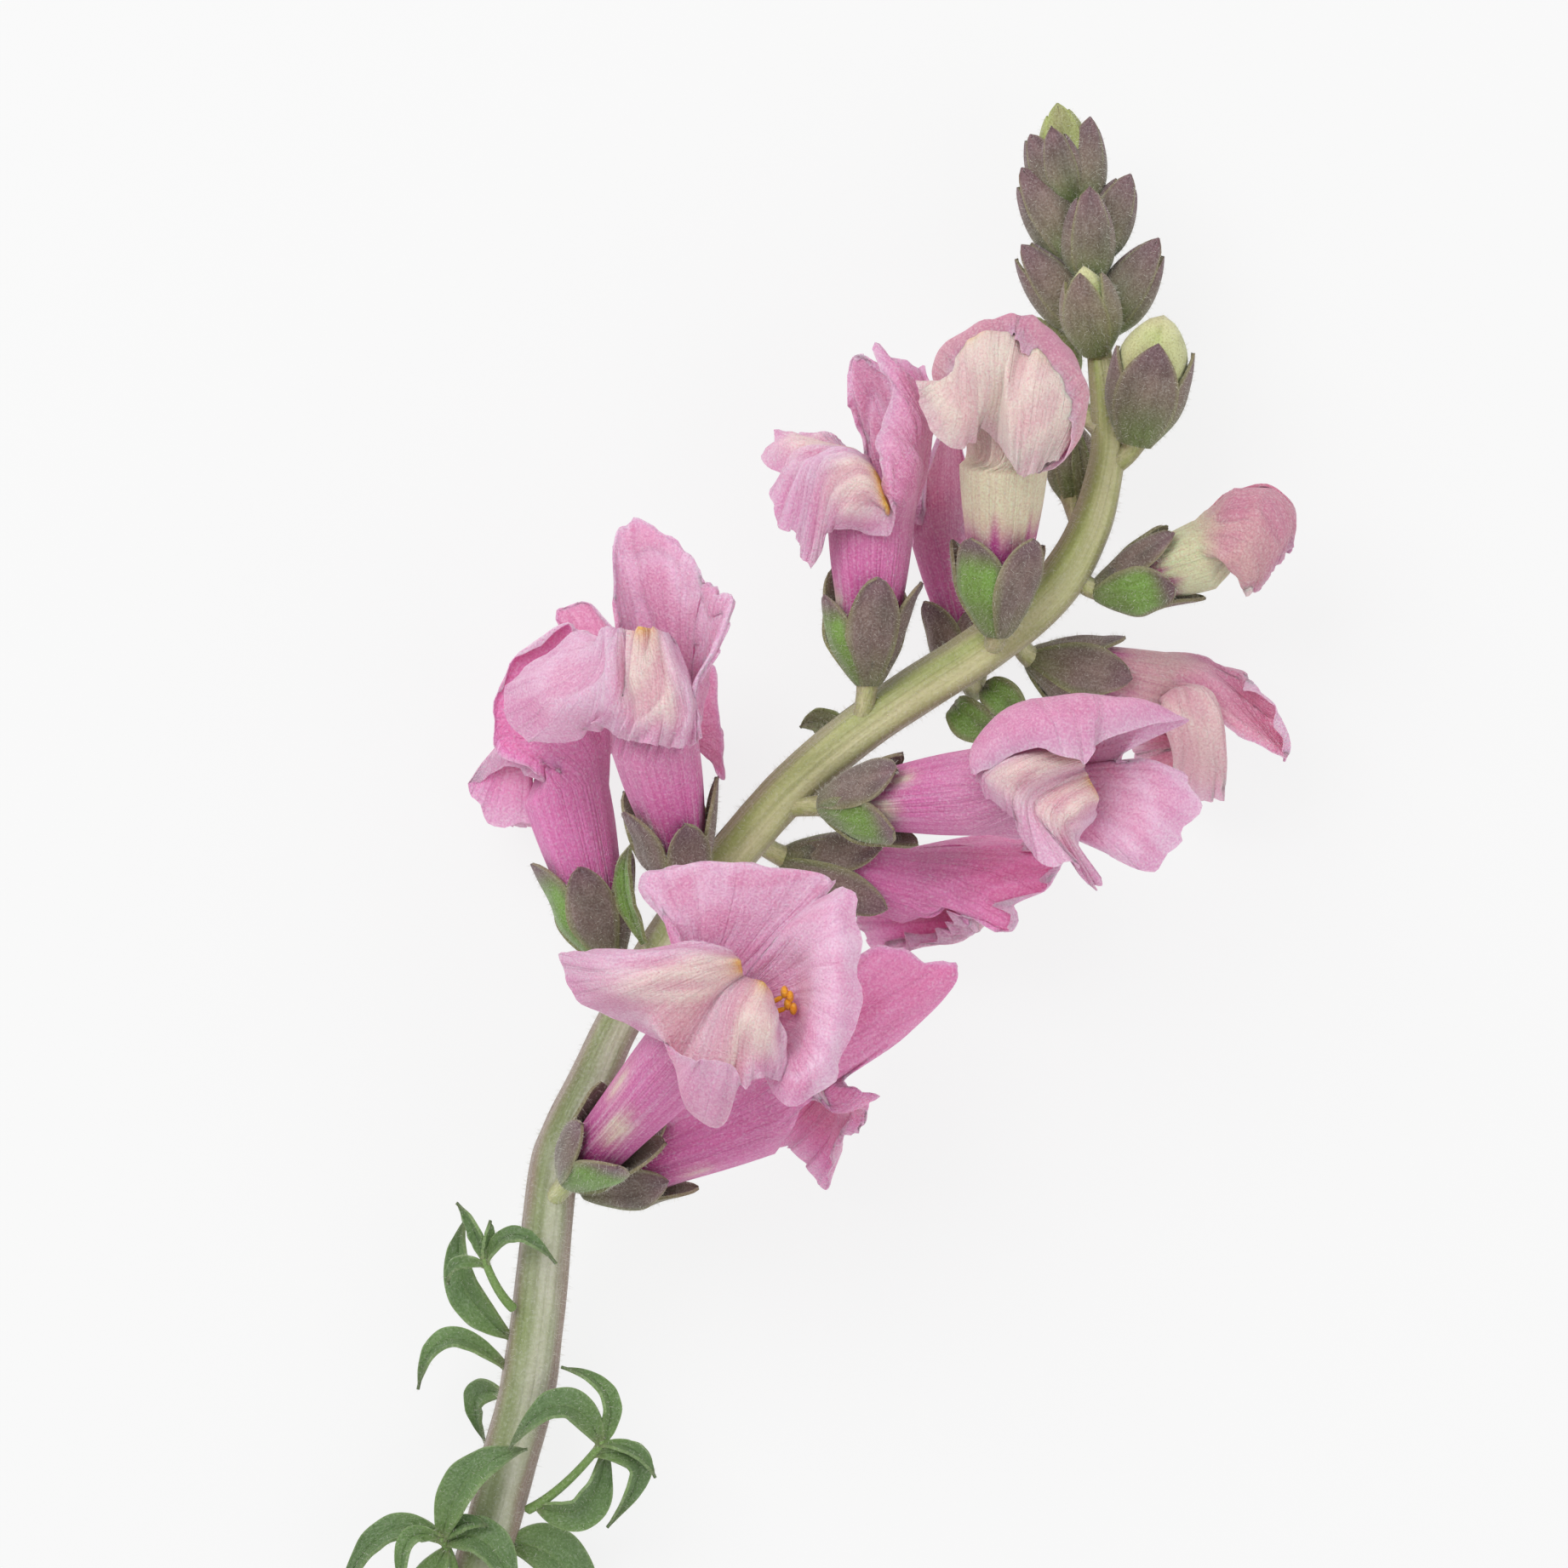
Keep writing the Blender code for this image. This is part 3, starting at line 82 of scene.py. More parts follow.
def paint(red, green, blue):  # an sRGB colour, 0 to 255, as the linear one that shaders want
    return np.array([c / 255 / 12.92 if c < 11 else ((c / 255 + 0.055) / 1.055) ** 2.4
                     for c in (red, green, blue)])


def blended(a, b, share):
    return a + (b - a) * share


def layered(paints, colour, **layers):  # paints over a colour, each at its share
    for name, share in layers.items():
        colour = blended(colour, paints[name], share)
    return colour


def stepped(low, high, value):  # a smooth step from 0 to 1
    share = min(max((value - low) / (high - low), 0.0), 1.0)
    return share * share * (3 - 2 * share)


def hill(value, centre, width):
    return exp(-((value - centre) / width) ** 2)


def through(values, t):  # a smooth curve through evenly spaced values, read at t from 0 to 1
    spans = len(values) - 1
    i = min(int(t * spans), spans - 1)
    f = t * spans - i
    a, b = values[i], values[i + 1]
    before = values[i - 1] if i > 0 else a * 2 - b
    after = values[i + 2] if i + 2 <= spans else b * 2 - a
    ease = f * f * (3 - 2 * f)
    return (a * (1 - ease) + b * ease + (b - before) * (f * (1 - f) * (1 - f) / 2)
            + (after - a) * (f * f * (f - 1) / 2))


def bezier(points, t):
    while len(points) > 1:
        points = [a.lerp(b, t) for a, b in zip(points, points[1:])]
    return points[0]


def curved(points, spans=6):  # knots along a bezier curve
    return [bezier(points, k / spans) for k in range(spans + 1)]


def settled(point, floor, bend=2.0):  # bends what would pass below the surface so that it lies on it
    if point.z < floor + bend:
        depth = point.z - floor
        point.z = floor + (0.0 if depth < -bend else (depth + bend) ** 2 / (4 * bend))
    return point


def ripple(x, y, seed):  # a smooth random value from about -1 to 1
    return noise.noise(Vector((x, y, seed * 7.31)))


# Mesh building, as by hand: a grid is added, shaped, welded, thickened and shaded

def only(piece):
    bpy.ops.object.select_all(action="DESELECT")
    piece.select_set(True)
    bpy.context.view_layer.objects.active = piece


def shapedGrid(name, columns, rows, form, closed=False):
    # form gives the place, the colours of both faces and the share of the wall, for u and v from 0 to 1
    bpy.ops.object.select_all(action="DESELECT")
    bpy.ops.mesh.primitive_grid_add(x_subdivisions=columns, y_subdivisions=rows, size=1, location=(0, 0, 0))
    piece = bpy.context.object
    piece.name = name
    mesh = piece.data
    faces = mesh.attributes.new("face", "FLOAT_COLOR", "POINT")
    backs = mesh.attributes.new("back", "FLOAT_COLOR", "POINT")
    walls = []
    for i, vert in enumerate(mesh.vertices):
        spot, face, back, *wall = form(vert.co.x + 0.5, vert.co.y + 0.5)
        vert.co = spot * mm
        faces.data[i].color = face
        backs.data[i].color = back
        walls.append(wall[0] if wall else 1.0)
    group = piece.vertex_groups.new(name="wall")
    for i, wall in enumerate(walls):
        group.add([i], wall, "REPLACE")
    if closed:
        weld(piece)
    return piece


def weld(piece, distance=1e-6):
    only(piece)
    bpy.ops.object.mode_set(mode="EDIT")
    bpy.ops.mesh.select_all(action="SELECT")
    bpy.ops.mesh.remove_doubles(threshold=distance)
    bpy.ops.object.mode_set(mode="OBJECT")


def outwards(piece):
    only(piece)
    bpy.ops.object.mode_set(mode="EDIT")
    bpy.ops.mesh.select_all(action="SELECT")
    bpy.ops.mesh.normals_make_consistent(inside=False)
    bpy.ops.object.mode_set(mode="OBJECT")


def thickened(piece, thickness):  # the second material slot is for the inner face
    only(piece)
    wall = piece.modifiers.new("Wall", "SOLIDIFY")
    wall.thickness = thickness * mm
    wall.offset = 0.0
    wall.use_rim = True
    wall.material_offset = 1
    wall.vertex_group = "wall"  # thinner towards an edge where the form says so
    bpy.ops.object.modifier_apply(modifier=wall.name)
    return piece


def smoothed(piece, angle=60):
    only(piece)
    bpy.ops.object.shade_smooth_by_angle(angle=radians(angle))
    return piece


def joined(pieces, name):
    bpy.ops.object.select_all(action="DESELECT")
    for piece in pieces:
        piece.select_set(True)
    bpy.context.view_layer.objects.active = pieces[0]
    if len(pieces) > 1:
        bpy.ops.object.join()
    pieces[0].name = name
    pieces[0].data.name = name
    return pieces[0]


def dressed(piece, *materials):
    piece.data.materials.clear()
    for material in materials:
        piece.data.materials.append(material)
    return piece


def handedIn(piece, slot, *nodes):  # says which nodes the piece stands for
    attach(piece, "root")
    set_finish(piece, slot)
    if nodes:
        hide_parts(*nodes)
    return piece


# Finishes

def filled(tree, node, inputs):  # each input gets a value, or another node's output
    for name, value in inputs.items():
        if isinstance(value, bpy.types.NodeSocket):
            tree.links.new(value, node.inputs[name])
        else:
            node.inputs[name].default_value = value


def added(tree, kind, inputs, **settings):
    node = tree.nodes.new(kind)
    for name, value in settings.items():
        setattr(node, name, value)
    filled(tree, node, inputs)
    return node.outputs


def finish(name):
    material = bpy.data.materials.new(name)
    material.use_nodes = True
    return material, material.node_tree, material.node_tree.nodes["Principled BSDF"]


glowDepth = 1.2  # how far light runs under a skin


def surface(name, source, look):
    # colour from a painted attribute, streaks along the growth and fine grain with painted glints, with bump
    # of both
    material, tree, shader = finish(name)
    painted = added(tree, "ShaderNodeAttribute", {}, attribute_name=source)
    where = added(tree, "ShaderNodeTexCoord", {})
    lines = added(tree, "ShaderNodeMapping", {"Vector": where["UV"], "Scale": (*look["lines"], 1)})
    streaks = added(tree, "ShaderNodeTexNoise", {
        "Vector": lines["Vector"], "Scale": 1.0, "Detail": 3.0, "Distortion": look["waver"]})["Fac"]

    def spots(scale):
        return added(tree, "ShaderNodeTexNoise", {
            "Vector": where["Object"], "Scale": scale, "Detail": 2.0})["Fac"]

    def levelled(value, low, high, to):  # stretches a noise over its useful middle
        return added(tree, "ShaderNodeMapRange", {
            "Value": value, "From Min": low, "From Max": high, "To Min": 0.0, "To Max": to})["Result"]

    def mixed(kind, factor, base, colour):
        return added(tree, "ShaderNodeMix", {"Factor": factor, "A": base, "B": (*colour, 1)},
                     data_type="RGBA", blend_type=kind)["Result"]

    grain, blotch = spots(look["grain"]), spots(look["blotch"])
    streak = added(tree, "ShaderNodeMath", {
        0: levelled(streaks, 0.42, 0.66, look["streak"]), 1: painted["Alpha"]}, operation="MULTIPLY")["Value"]
    colour = mixed("MULTIPLY", streak, painted["Color"], look["streakColour"])
    colour = mixed("MULTIPLY", levelled(blotch, 0.5, 0.7, look["blotched"]), colour, look["streakColour"])
    # painted glints: white specks of the grain screened over the colour
    colour = mixed("SCREEN", levelled(grain, 0.5, 0.75, look["sparkle"]), colour, (1, 1, 1))
    colour = mixed("MULTIPLY", levelled(grain, 0.5, 0.25, look["pore"]), colour, look["poreColour"])
    height = added(tree, "ShaderNodeMath", {0: streaks, 1: look["lineHeight"], 2: grain},
                   operation="MULTIPLY_ADD")["Value"]
    bump = added(tree, "ShaderNodeBump", {
        "Strength": look["bump"], "Distance": look["relief"] * mm, "Height": height})["Normal"]
    filled(tree, shader, {
        "Base Color": colour, "Normal": bump, "Roughness": look["roughness"],
        "Specular IOR Level": look["gloss"], "Subsurface Weight": look["glow"],
        "Subsurface Radius": look["glowColour"], "Subsurface Scale": glowDepth * mm,
        "Sheen Weight": look["fuzz"], "Sheen Roughness": 0.5})
    return material


petalLook = dict(lines=(120, 2.4), waver=0.7, grain=3600, blotch=170, streak=0.5,
                 streakColour=(0.78, 0.46, 0.66), blotched=0.2, sparkle=0.24, pore=0.55,
                 poreColour=(0.8, 0.52, 0.7), lineHeight=2.6, bump=0.8, relief=0.24,
                 roughness=0.6, gloss=0.25, glow=0.5, glowColour=(1.0, 0.5, 0.65), fuzz=0.08)
sepalLook = dict(lines=(9, 3), waver=0.4, grain=4200, blotch=420, streak=0.4,
                 streakColour=(0.6, 0.5, 0.5), blotched=0.4, sparkle=0.12, pore=0.6,
                 poreColour=(0.5, 0.42, 0.42), lineHeight=1.5, bump=0.6, relief=0.2,
                 roughness=0.7, gloss=0.2, glow=0.05, glowColour=(0.6, 0.4, 0.25), fuzz=0.25)
stemLook = dict(lines=(34, 9), waver=0.2, grain=2600, blotch=260, streak=0.6,
                streakColour=(0.6, 0.62, 0.5), blotched=0.2, sparkle=0.12, pore=0.25,
                poreColour=(0.6, 0.62, 0.45), lineHeight=2.0, bump=0.5, relief=0.22,
                roughness=0.5, gloss=0.4, glow=0.1, glowColour=(0.5, 0.9, 0.2), fuzz=0.25)
leafLook = dict(lines=(16, 26), waver=1.2, grain=3400, blotch=300, streak=0.45,
                streakColour=(0.6, 0.7, 0.55), blotched=0.4, sparkle=0.1, pore=0.5,
                poreColour=(0.55, 0.65, 0.5), lineHeight=2.4, bump=0.6, relief=0.2,
                roughness=0.42, gloss=0.5, glow=0.1, glowColour=(0.4, 0.8, 0.2), fuzz=0.03)
stamenLook = dict(lines=(6, 6), waver=0.5, grain=3500, blotch=900, streak=0.3,
                  streakColour=(0.8, 0.5, 0.2), blotched=0.3, sparkle=0.1, pore=0.5,
                  poreColour=(0.75, 0.4, 0.1), lineHeight=0.5, bump=0.8, relief=0.2,
                  roughness=0.7, gloss=0.2, glow=0.1, glowColour=(0.9, 0.5, 0.1), fuzz=0.1)

petalFace = surface("petalFace", "face", petalLook)
petalBack = surface("petalBack", "back", petalLook)
sepalFace = surface("sepalFace", "face", sepalLook)
sepalBack = surface("sepalBack", "back", sepalLook)
stemSkin = surface("stemSkin", "face", stemLook)
leafFace = surface("leafFace", "face", leafLook)
leafBack = surface("leafBack", "back", leafLook)
stamenSkin = surface("stamenSkin", "face", stamenLook)
print("finishes made")


# Petals

petals = dict(
    thickness=0.36, floor=0.22,
    tubeRadii=(2.3, 3.3, 4.0, 4.6, 5.0),  # from the calyx to the mouth
    pouch=0.9, flare=24, across=8,  # columns for each point of the rim
    tubeRows=12, limbRows=32, pillows=(150, 210), mound=21,  # where the palate swells, and how widely
    ruffle=1.1, ruffles=26, frill=0.9, frills=70, bite=1.0, bites=54,  # waves of the edge, cuts in it
    crumple=0.8, crumples=14, crease=0.5, creases=17, edge=0.3)  # the edge's share of the thickness

# shade paints the inner face deep in the tube, and deep paints creases and the throat, both as painted shade
petalPaint = dict(
    foot=paint(180, 66, 140), tube=paint(230, 124, 184), streak=paint(246, 218, 232),
    rose=paint(226, 152, 190), lilac=paint(230, 189, 212), back=paint(224, 160, 192),
    blush=paint(238, 208, 200), cream=paint(238, 228, 196), yellow=paint(242, 186, 36),
    throat=paint(224, 184, 212), shade=paint(176, 92, 152), dusty=paint(206, 142, 160),
    # the last colour is painted light, for the tubes of low blooms
    sprout=paint(228, 226, 182), deep=paint(206, 108, 158), bright=paint(255, 146, 206))

rimTurns = (0, 15, 32, 50, 70, 93, 108, 122, 138, 154, 168, 180)
rimForm = (  # a full lip in the bloom's own frame: forward, towards the upper lip, to the side
    (10, 10, 0), (17, 12, 4), (19, 14, 9), (16, 14, 14), (10, 9, 14), (3, 1, 6.5),
    (6, -2, 12), (4, -7, 14), (2, -11, 12), (6, -11, 6.5), (4, -15, 4), (3, -16, 0))
rimTurns += tuple(360 - turn for turn in reversed(rimTurns[1:-1]))  # and the same on the other side
rimForm += tuple((forward, up, -aside) for forward, up, aside in reversed(rimForm[1:-1]))

palateForm = (  # the lower lip's way up to the palate's crest and over it: forward, up, wide, swelling
    (3.5, -2.0, 4.6, 0.0, 0.6), (7.0, 3.6, 4.8, 1.0, 1.8), (8.6, -1.6, 6.6, 2.4, 1.2))

# Each bloom: foot and mouth of its tube, the way its upper lip points, the rim of its lips, and its
# joint, which counts the knots of the stem's path.
# A point of the rim has its place on the edge, or five places from the tube's mouth to the edge.
# A rim with a mirror is the same on its far side, where each height is the mirror's less the near one.
# where a bloom gives a share of painted light, its tube is lightened by it
blooms = {
    "01": dict(
        foot=(68.4, 137.0, 23.0), mouth=(83.0, 120.5, 42.0), up=(0.5, -0.6, -0.65), joint=16.4,
        palate=1.0, creased=1.3, sepalTurn=30, green=(2,), rim={
        0: (87.2, 115, 40, 90, 111.6, 41.6, 92.4, 108.8, 42.8, 94.8, 106.6, 42.8, 97.4, 104.8, 42),
        1: (97.6, 102.9, 40.5), 2: (89, 102.1, 42), 3: (79.5, 101.8, 43), 4: (74.9, 104, 43),
        5: (79.5, 111.5, 43.5),
        6: (82.5, 115, 44.5, 85.3, 112.2, 45.5, 81.5, 110.7, 48.5, 74.6, 111.6, 49.4, 70.4, 111.9, 44.2),
        7: (82.5, 115.6, 45, 86.2, 112, 46.8, 81.5, 111.3, 50.6, 72.4, 113, 51, 66, 112, 43.6),
        8: (82.8, 116.2, 45.5, 86.9, 112.6, 47.6, 81.4, 113, 51.8, 73.8, 115.8, 51.4, 68.2, 117.4, 43.2),
        9: (83.2, 117, 46, 87.1, 113.6, 47.6, 82.2, 115.2, 51, 76.6, 117.8, 50.2, 74.6, 120.2, 44.2),
        10: (83.6, 117.8, 46.3, 87.2, 114.3, 46.9, 83.4, 117.2, 48.8, 79.4, 124.2, 46.8, 80.8, 123.8, 51),
        11: (84, 118.4, 46.3, 87.6, 114.6, 46.5, 84.6, 118, 48.2, 80.9, 129.6, 46.8, 83, 124, 52.6),
        12: (84.6, 118.9, 46.2, 88.4, 114.9, 47, 86.4, 118.6, 50.4, 84.9, 131.6, 46.6, 86.2, 124.8, 52.6),
        13: (85.4, 119.4, 45.8, 89.5, 115.2, 47.4, 88, 119, 51.9, 87.2, 124.4, 49.8, 87.6, 127.4, 50.2),
        14: (86, 120.2, 45.2, 90.4, 116.2, 47.6, 90.2, 119.6, 51.4, 89.6, 123.6, 50.3, 89.3, 126, 49),
        15: (86.6, 121, 44.6, 90.4, 117.8, 47.2, 91.8, 120.6, 49.4, 91.4, 124, 48.4, 91.2, 126.6, 47),
        16: (87, 121.8, 43.8, 90, 120, 46.4, 92.2, 121.6, 47.4, 92.2, 124, 46.6, 91.8, 126.2, 45.4),
        17: (89.5, 124, 43),
        18: (88.4, 121.6, 41.8, 91.8, 122.4, 43.8, 93.4, 124.2, 47.2, 93.8, 127, 48.2, 92.4, 129.8, 46.5),
        19: (89.2, 119, 41, 93.4, 118.8, 42.8, 95.4, 119.8, 47.4, 97.4, 122, 49.2, 98.9, 124.6, 47.5),
        20: (89.2, 117, 40.6, 93.4, 114.8, 42.4, 95.2, 113.8, 46.8, 98, 113.6, 49, 100.9, 113.2, 47.5),
        21: (88.6, 115.5, 40.4, 92, 111.8, 42.6, 94.8, 108.8, 45.8, 97.6, 106.4, 47.4, 100.4, 104, 46)}),
    "02": dict(
        foot=(71.0, 138.6, 14.5), mouth=(89.0, 131.0, 17.0), up=(-0.1, -0.95, 0.3), joint=15.6,
        palate=0.8, ruffled=1.4, bright=0.35, rim={
        0: (98, 116, 18), 1: (101, 112.4, 24), 2: (108, 112.8, 23), 3: (112.7, 114.5, 21),
        4: (106, 121.7, 20), 5: (98.5, 126.5, 22), 6: (100.2, 127.9, 24), 7: (102.3, 128.8, 22),
        8: (101.5, 132.6, 19), 9: (98.6, 133.6, 17), 10: (98.3, 136.5, 14), 11: (97.4, 140.2, 9),
        12: (95.2, 137.5, 8), 13: (93.5, 135.5, 8), 14: (90.5, 135, 5), 15: (87.5, 133.8, 5),
        16: (88.5, 131, 7), 17: (93.5, 128.5, 9), 18: (98, 123, 7), 19: (104, 119, 5), 20: (104, 115, 6),
        21: (99, 113.5, 12)}),
    "03": dict(
        foot=(70.8, 110.0, 15.0), mouth=(66.4, 93.5, 12.5), up=(0.95, -0.2, -0.2), joint=12.6,
        palate=0.8, ruffled=1.7, creased=1.4, bright=0.6, green=(2,), rim={
        0: (70, 79, 19), 1: (69, 77.5, 15), 2: (66, 76, 13), 3: (62, 78, 11), 4: (60.5, 84, 10),
        5: (63, 90, 10), 6: (60, 87.5, 7), 7: (58, 89.5, 5), 8: (57.5, 93, 4), 9: (62, 95.5, 6),
        10: (60.5, 95.5, 4), 11: (59.5, 96.3, 4.5), 12: (60.3, 97, 6), 13: (62.2, 96.8, 11),
        14: (57, 96.2, 9), 15: (55, 91.8, 10), 16: (59.5, 90, 14), 17: (63.8, 91.6, 17), 18: (57.9, 87.8, 18),
        19: (59.2, 79, 20), 20: (65, 74.3, 22), 21: (69.5, 75, 22)}),
    "04": dict(
        foot=(80.3, 101.5, 27.5), mouth=(77.0, 87.5, 34.0), up=(0.8, -0.35, -0.5), joint=10.6,
        palate=1.0, ruffled=1.4, creased=2.4, pillows=(204,), rim={
        0: (83.3, 68.5, 34), 1: (80.7, 65.6, 33), 2: (75.5, 61.7, 32), 3: (72.4, 63.5, 32), 4: (72.3, 70, 33),
        5: (73, 75.8, 33),
        6: (72.8, 82, 35, 71.5, 76, 34.5, 70, 75.5, 34.5, 69, 75.2, 33.5, 68.5, 74.5, 32),
        7: (72.6, 82, 36, 71, 75, 35.6, 68, 77, 36, 64, 79, 34, 60.3, 80, 29),
        8: (72.8, 82, 37.4, 71.2, 74.2, 37.4, 69.4, 78.6, 39, 66, 82.6, 37, 62, 87, 30),
        9: (73.2, 82, 38.6, 72, 73.8, 38.8, 71.2, 78.6, 41.6, 70, 82.5, 40, 68.5, 86.5, 35),
        10: (74, 82, 39.6, 73, 74, 39.6, 72.4, 79, 43, 72, 83, 42.4, 71, 85.5, 39),
        11: (75, 82, 40.4, 74, 74.4, 39.6, 73.6, 79.6, 41.6, 73.8, 83.6, 42, 73, 86.8, 40.5),
        12: (76.2, 82, 41, 75, 74.2, 40.8, 74.6, 79.8, 44, 74.8, 84.2, 43.6, 74.2, 87, 42),
        13: (77.4, 81.8, 41.3, 76, 73.8, 41.2, 76.6, 79.8, 44.8, 77, 84.4, 44.4, 76.6, 87.6, 42.4),
        14: (78.4, 81.4, 41.2, 77, 74, 41, 78.6, 79.6, 44.4, 79.4, 84.4, 44.2, 79, 87.8, 42.4),
        15: (79.4, 81, 40.8, 78.2, 74.6, 40.3, 80.2, 79.5, 43.2, 81.2, 84.5, 43.2, 81, 87.4, 42),
        16: (80.5, 81, 40, 79.5, 76, 39.5, 81, 79.5, 41.5, 82, 83.5, 42, 82.3, 86.6, 41.5),
        17: (82.2, 85, 40), 18: (82, 81.4, 42), 19: (84.3, 77, 41), 20: (86.4, 71.3, 38),
        21: (84.9, 69.8, 36)}),
    "05": dict(
        foot=(81.0, 102.6, 13.0), mouth=(77.5, 88.5, 7.5), up=(0.2, 0.0, 1.0), joint=10.4,
        size=0.62, palate=0.8, rim={
        2: (83.6, 79, 11), 3: (84.6, 86, 12), 4: (84.9, 91.5, 11), 18: (67.5, 76.5, 7), 19: (65.2, 72.2, 7),
        20: (68.4, 70.6, 8), 21: (71.5, 73.6, 10)}),
    "06": dict(
        foot=(102.0, 77.2, 25.0), mouth=(102.3, 61.0, 26.0), up=(0.95, 0.0, -0.3), joint=6.9,
        palate=1.0, ruffled=1.3, creased=1.4, pillows=(140, 238), sepalTurn=8, green=(2,), rim={
        0: (108, 58, 27.5, 109, 54, 28.4, 109.4, 50, 28.8, 109.2, 46.2, 28.4, 108.4, 43.2, 27.6),
        1: (104, 43.5, 25), 2: (100.3, 42, 24), 3: (99.6, 47, 22), 4: (101.4, 52.5, 21), 5: (101.5, 56, 21),
        6: (97, 52.5, 21),
        7: (102.2, 57, 23, 101, 54, 22.6, 97.2, 52.6, 23, 94.2, 51.2, 21.5, 92, 50.9, 19),
        8: (102.2, 57, 24, 101, 53.4, 24, 97, 52.2, 25, 93, 51.8, 24, 89.7, 54.2, 21),
        9: (102.2, 57, 25, 100.8, 53.2, 25.4, 97, 52.4, 26.4, 94, 53, 25.6, 92.2, 55.9, 24),
        10: (102.2, 57, 26, 100.6, 53.4, 26.8, 96.8, 52.8, 27.8, 93.4, 54.2, 27.2, 90.5, 58.7, 26),
        11: (102.4, 57, 27, 100.8, 53.8, 28.2, 97.2, 53.4, 29, 94, 55.2, 28.6, 91.4, 62, 27),
        12: (102.6, 57.4, 28, 101.2, 53.6, 30, 97.8, 53, 31.6, 95, 55.4, 30.6, 93.2, 62.6, 29),
        13: (103, 57.8, 29, 101.8, 54.2, 31.6, 98.6, 53.6, 33.6, 96, 56, 32.2, 94.2, 64.2, 30),
        14: (103.4, 58.5, 30, 102.6, 55.4, 33, 99.6, 54.6, 35.4, 97, 57, 33.8, 95.2, 66.6, 31),
        15: (104, 59.5, 31.5, 103.4, 57.6, 34, 100.8, 56, 36.2, 98.4, 58.4, 35, 96.8, 63.5, 32),
        16: (104.2, 60.5, 32.5, 103.8, 59.8, 34, 101.6, 58.2, 35.8, 99.6, 60, 35.2, 98.5, 62, 33),
        17: (104.8, 62.5, 32.5),
        18: (106, 60, 32, 106, 59, 33.8, 105.4, 58.5, 34.8, 104.6, 58, 35, 103.9, 57.5, 34.5),
        19: (107, 59, 31.5, 107, 56.5, 33.6, 106, 54.5, 34.8, 104.4, 53, 34.8, 102.6, 52.3, 33.8),
        20: (107.6, 58.4, 30.4, 107.9, 54.8, 32.2, 107.4, 51.4, 33.2, 106.2, 48.6, 32.8, 104.6, 46.5, 31.5),
        21: (107.8, 58, 29, 108.6, 53.6, 30.6, 108.2, 49, 31.4, 106, 44.4, 31, 102.9, 40.4, 29.5)}),
    "07": dict(
        foot=(114.0, 78.0, 12.5), mouth=(110.5, 63.5, 9.0), up=(0.8, 0.2, 0.5), joint=5.4,
        size=0.62, palate=0.8, rim={}),
    "08": dict(
        foot=(117.2, 71.5, 27.5), mouth=(117.8, 55.0, 31.0), up=(0.6, 0.0, -0.8), joint=5.0,
        palate=0.5, young=0.85, creased=1.2, ruffled=1.1, green=(2,), upperOver=(9, 3), rim={
        0: (120, 50.6, 30, 120.6, 43.6, 30.8, 120.4, 38.6, 34, 119.6, 37.6, 38.6, 119, 40.6, 41.2),
        1: (118.8, 50.4, 29.8, 117.8, 43.8, 30.6, 116.6, 38.8, 34, 116.4, 38, 38.4, 117.4, 41, 41),
        2: (117.4, 50.6, 29.8, 115.2, 44.4, 30.6, 113, 40.4, 33.6, 112.6, 39.8, 37.6, 114.6, 42.4, 40.4),
        3: (116, 51, 30, 113.2, 46, 30.8, 110.8, 42.8, 33.2, 110.2, 42.2, 36.4, 112, 44.2, 38.8),
        4: (114.8, 52, 30.6, 112.2, 48.6, 31.4, 110.4, 45.8, 33, 110, 45.4, 35.4, 111.4, 46.8, 37),
        5: (112.5, 50, 33),
        6: (114.5, 53, 31.5, 112.6, 48, 34, 111, 45.4, 36.6, 109.6, 45, 38.4, 108.4, 45.9, 38.6),
        7: (115, 53, 32.5, 112.8, 45.4, 35.8, 111.6, 44.2, 38.4, 109.8, 45.8, 39.8, 107.7, 47, 38.4),
        8: (115.6, 53, 33.6, 113.2, 42.6, 37.2, 112.6, 43.8, 40.4, 111.6, 48.6, 40.2, 110.6, 52.2, 38.8),
        9: (116.2, 53.2, 34.6, 114.6, 40.8, 38.2, 114.2, 43.2, 41.6, 114.2, 48, 40.2, 113.6, 52, 37.8),
        10: (116.8, 53.4, 35, 116, 39.8, 39.4, 115.8, 42.4, 42.8, 115.8, 47.2, 41, 115, 51, 37.6),
        11: (117.4, 53.4, 35.2, 118.2, 40, 39.4, 117.8, 43.2, 42.6, 117.4, 47.8, 40.4, 116.6, 51.4, 37.6),
        12: (118, 53.4, 35.4, 120, 40.2, 38.8, 118.8, 44.8, 42.8, 118.6, 50, 42.8, 118.8, 55, 40.8),
        13: (118.8, 53.4, 35.2, 122, 41.6, 38.6, 121.2, 45, 43.8, 120.4, 50.6, 43.8, 119.6, 56.2, 41.4),
        14: (119.6, 53.4, 35, 123.8, 43.8, 38.2, 123.6, 46, 43, 122.8, 50.6, 43, 121.2, 55.6, 40.8),
        15: (120.2, 53.4, 34.6, 125.2, 46.4, 37.8, 125.4, 47.6, 41.4, 124.8, 50.6, 41.6, 123, 54.4, 40.2),
        16: (120.6, 53.4, 34.2, 125.2, 48.8, 37.4, 125.8, 49.8, 39.4, 125.4, 52, 39.8, 124, 54.6, 39),
        17: (121.5, 56, 37),
        18: (122, 53.5, 33, 124.6, 51.5, 34.6, 126.2, 51.2, 37, 126.4, 52.2, 39.4, 125.2, 54.2, 40.4),
        19: (122.2, 52.5, 32, 125.4, 48.6, 33.6, 127.4, 46.8, 37, 127, 47, 40.4, 125.2, 49.6, 42),
        20: (121.8, 51.5, 31, 124.8, 45.8, 32.4, 126.6, 42.8, 36, 125.6, 42.6, 40.2, 122.8, 44.4, 42),
        21: (121, 51, 30.4, 123, 44, 31.4, 123.6, 39.4, 34.8, 122.4, 38.6, 39.4, 120.6, 41.2, 41.6)}),
    "09": dict(
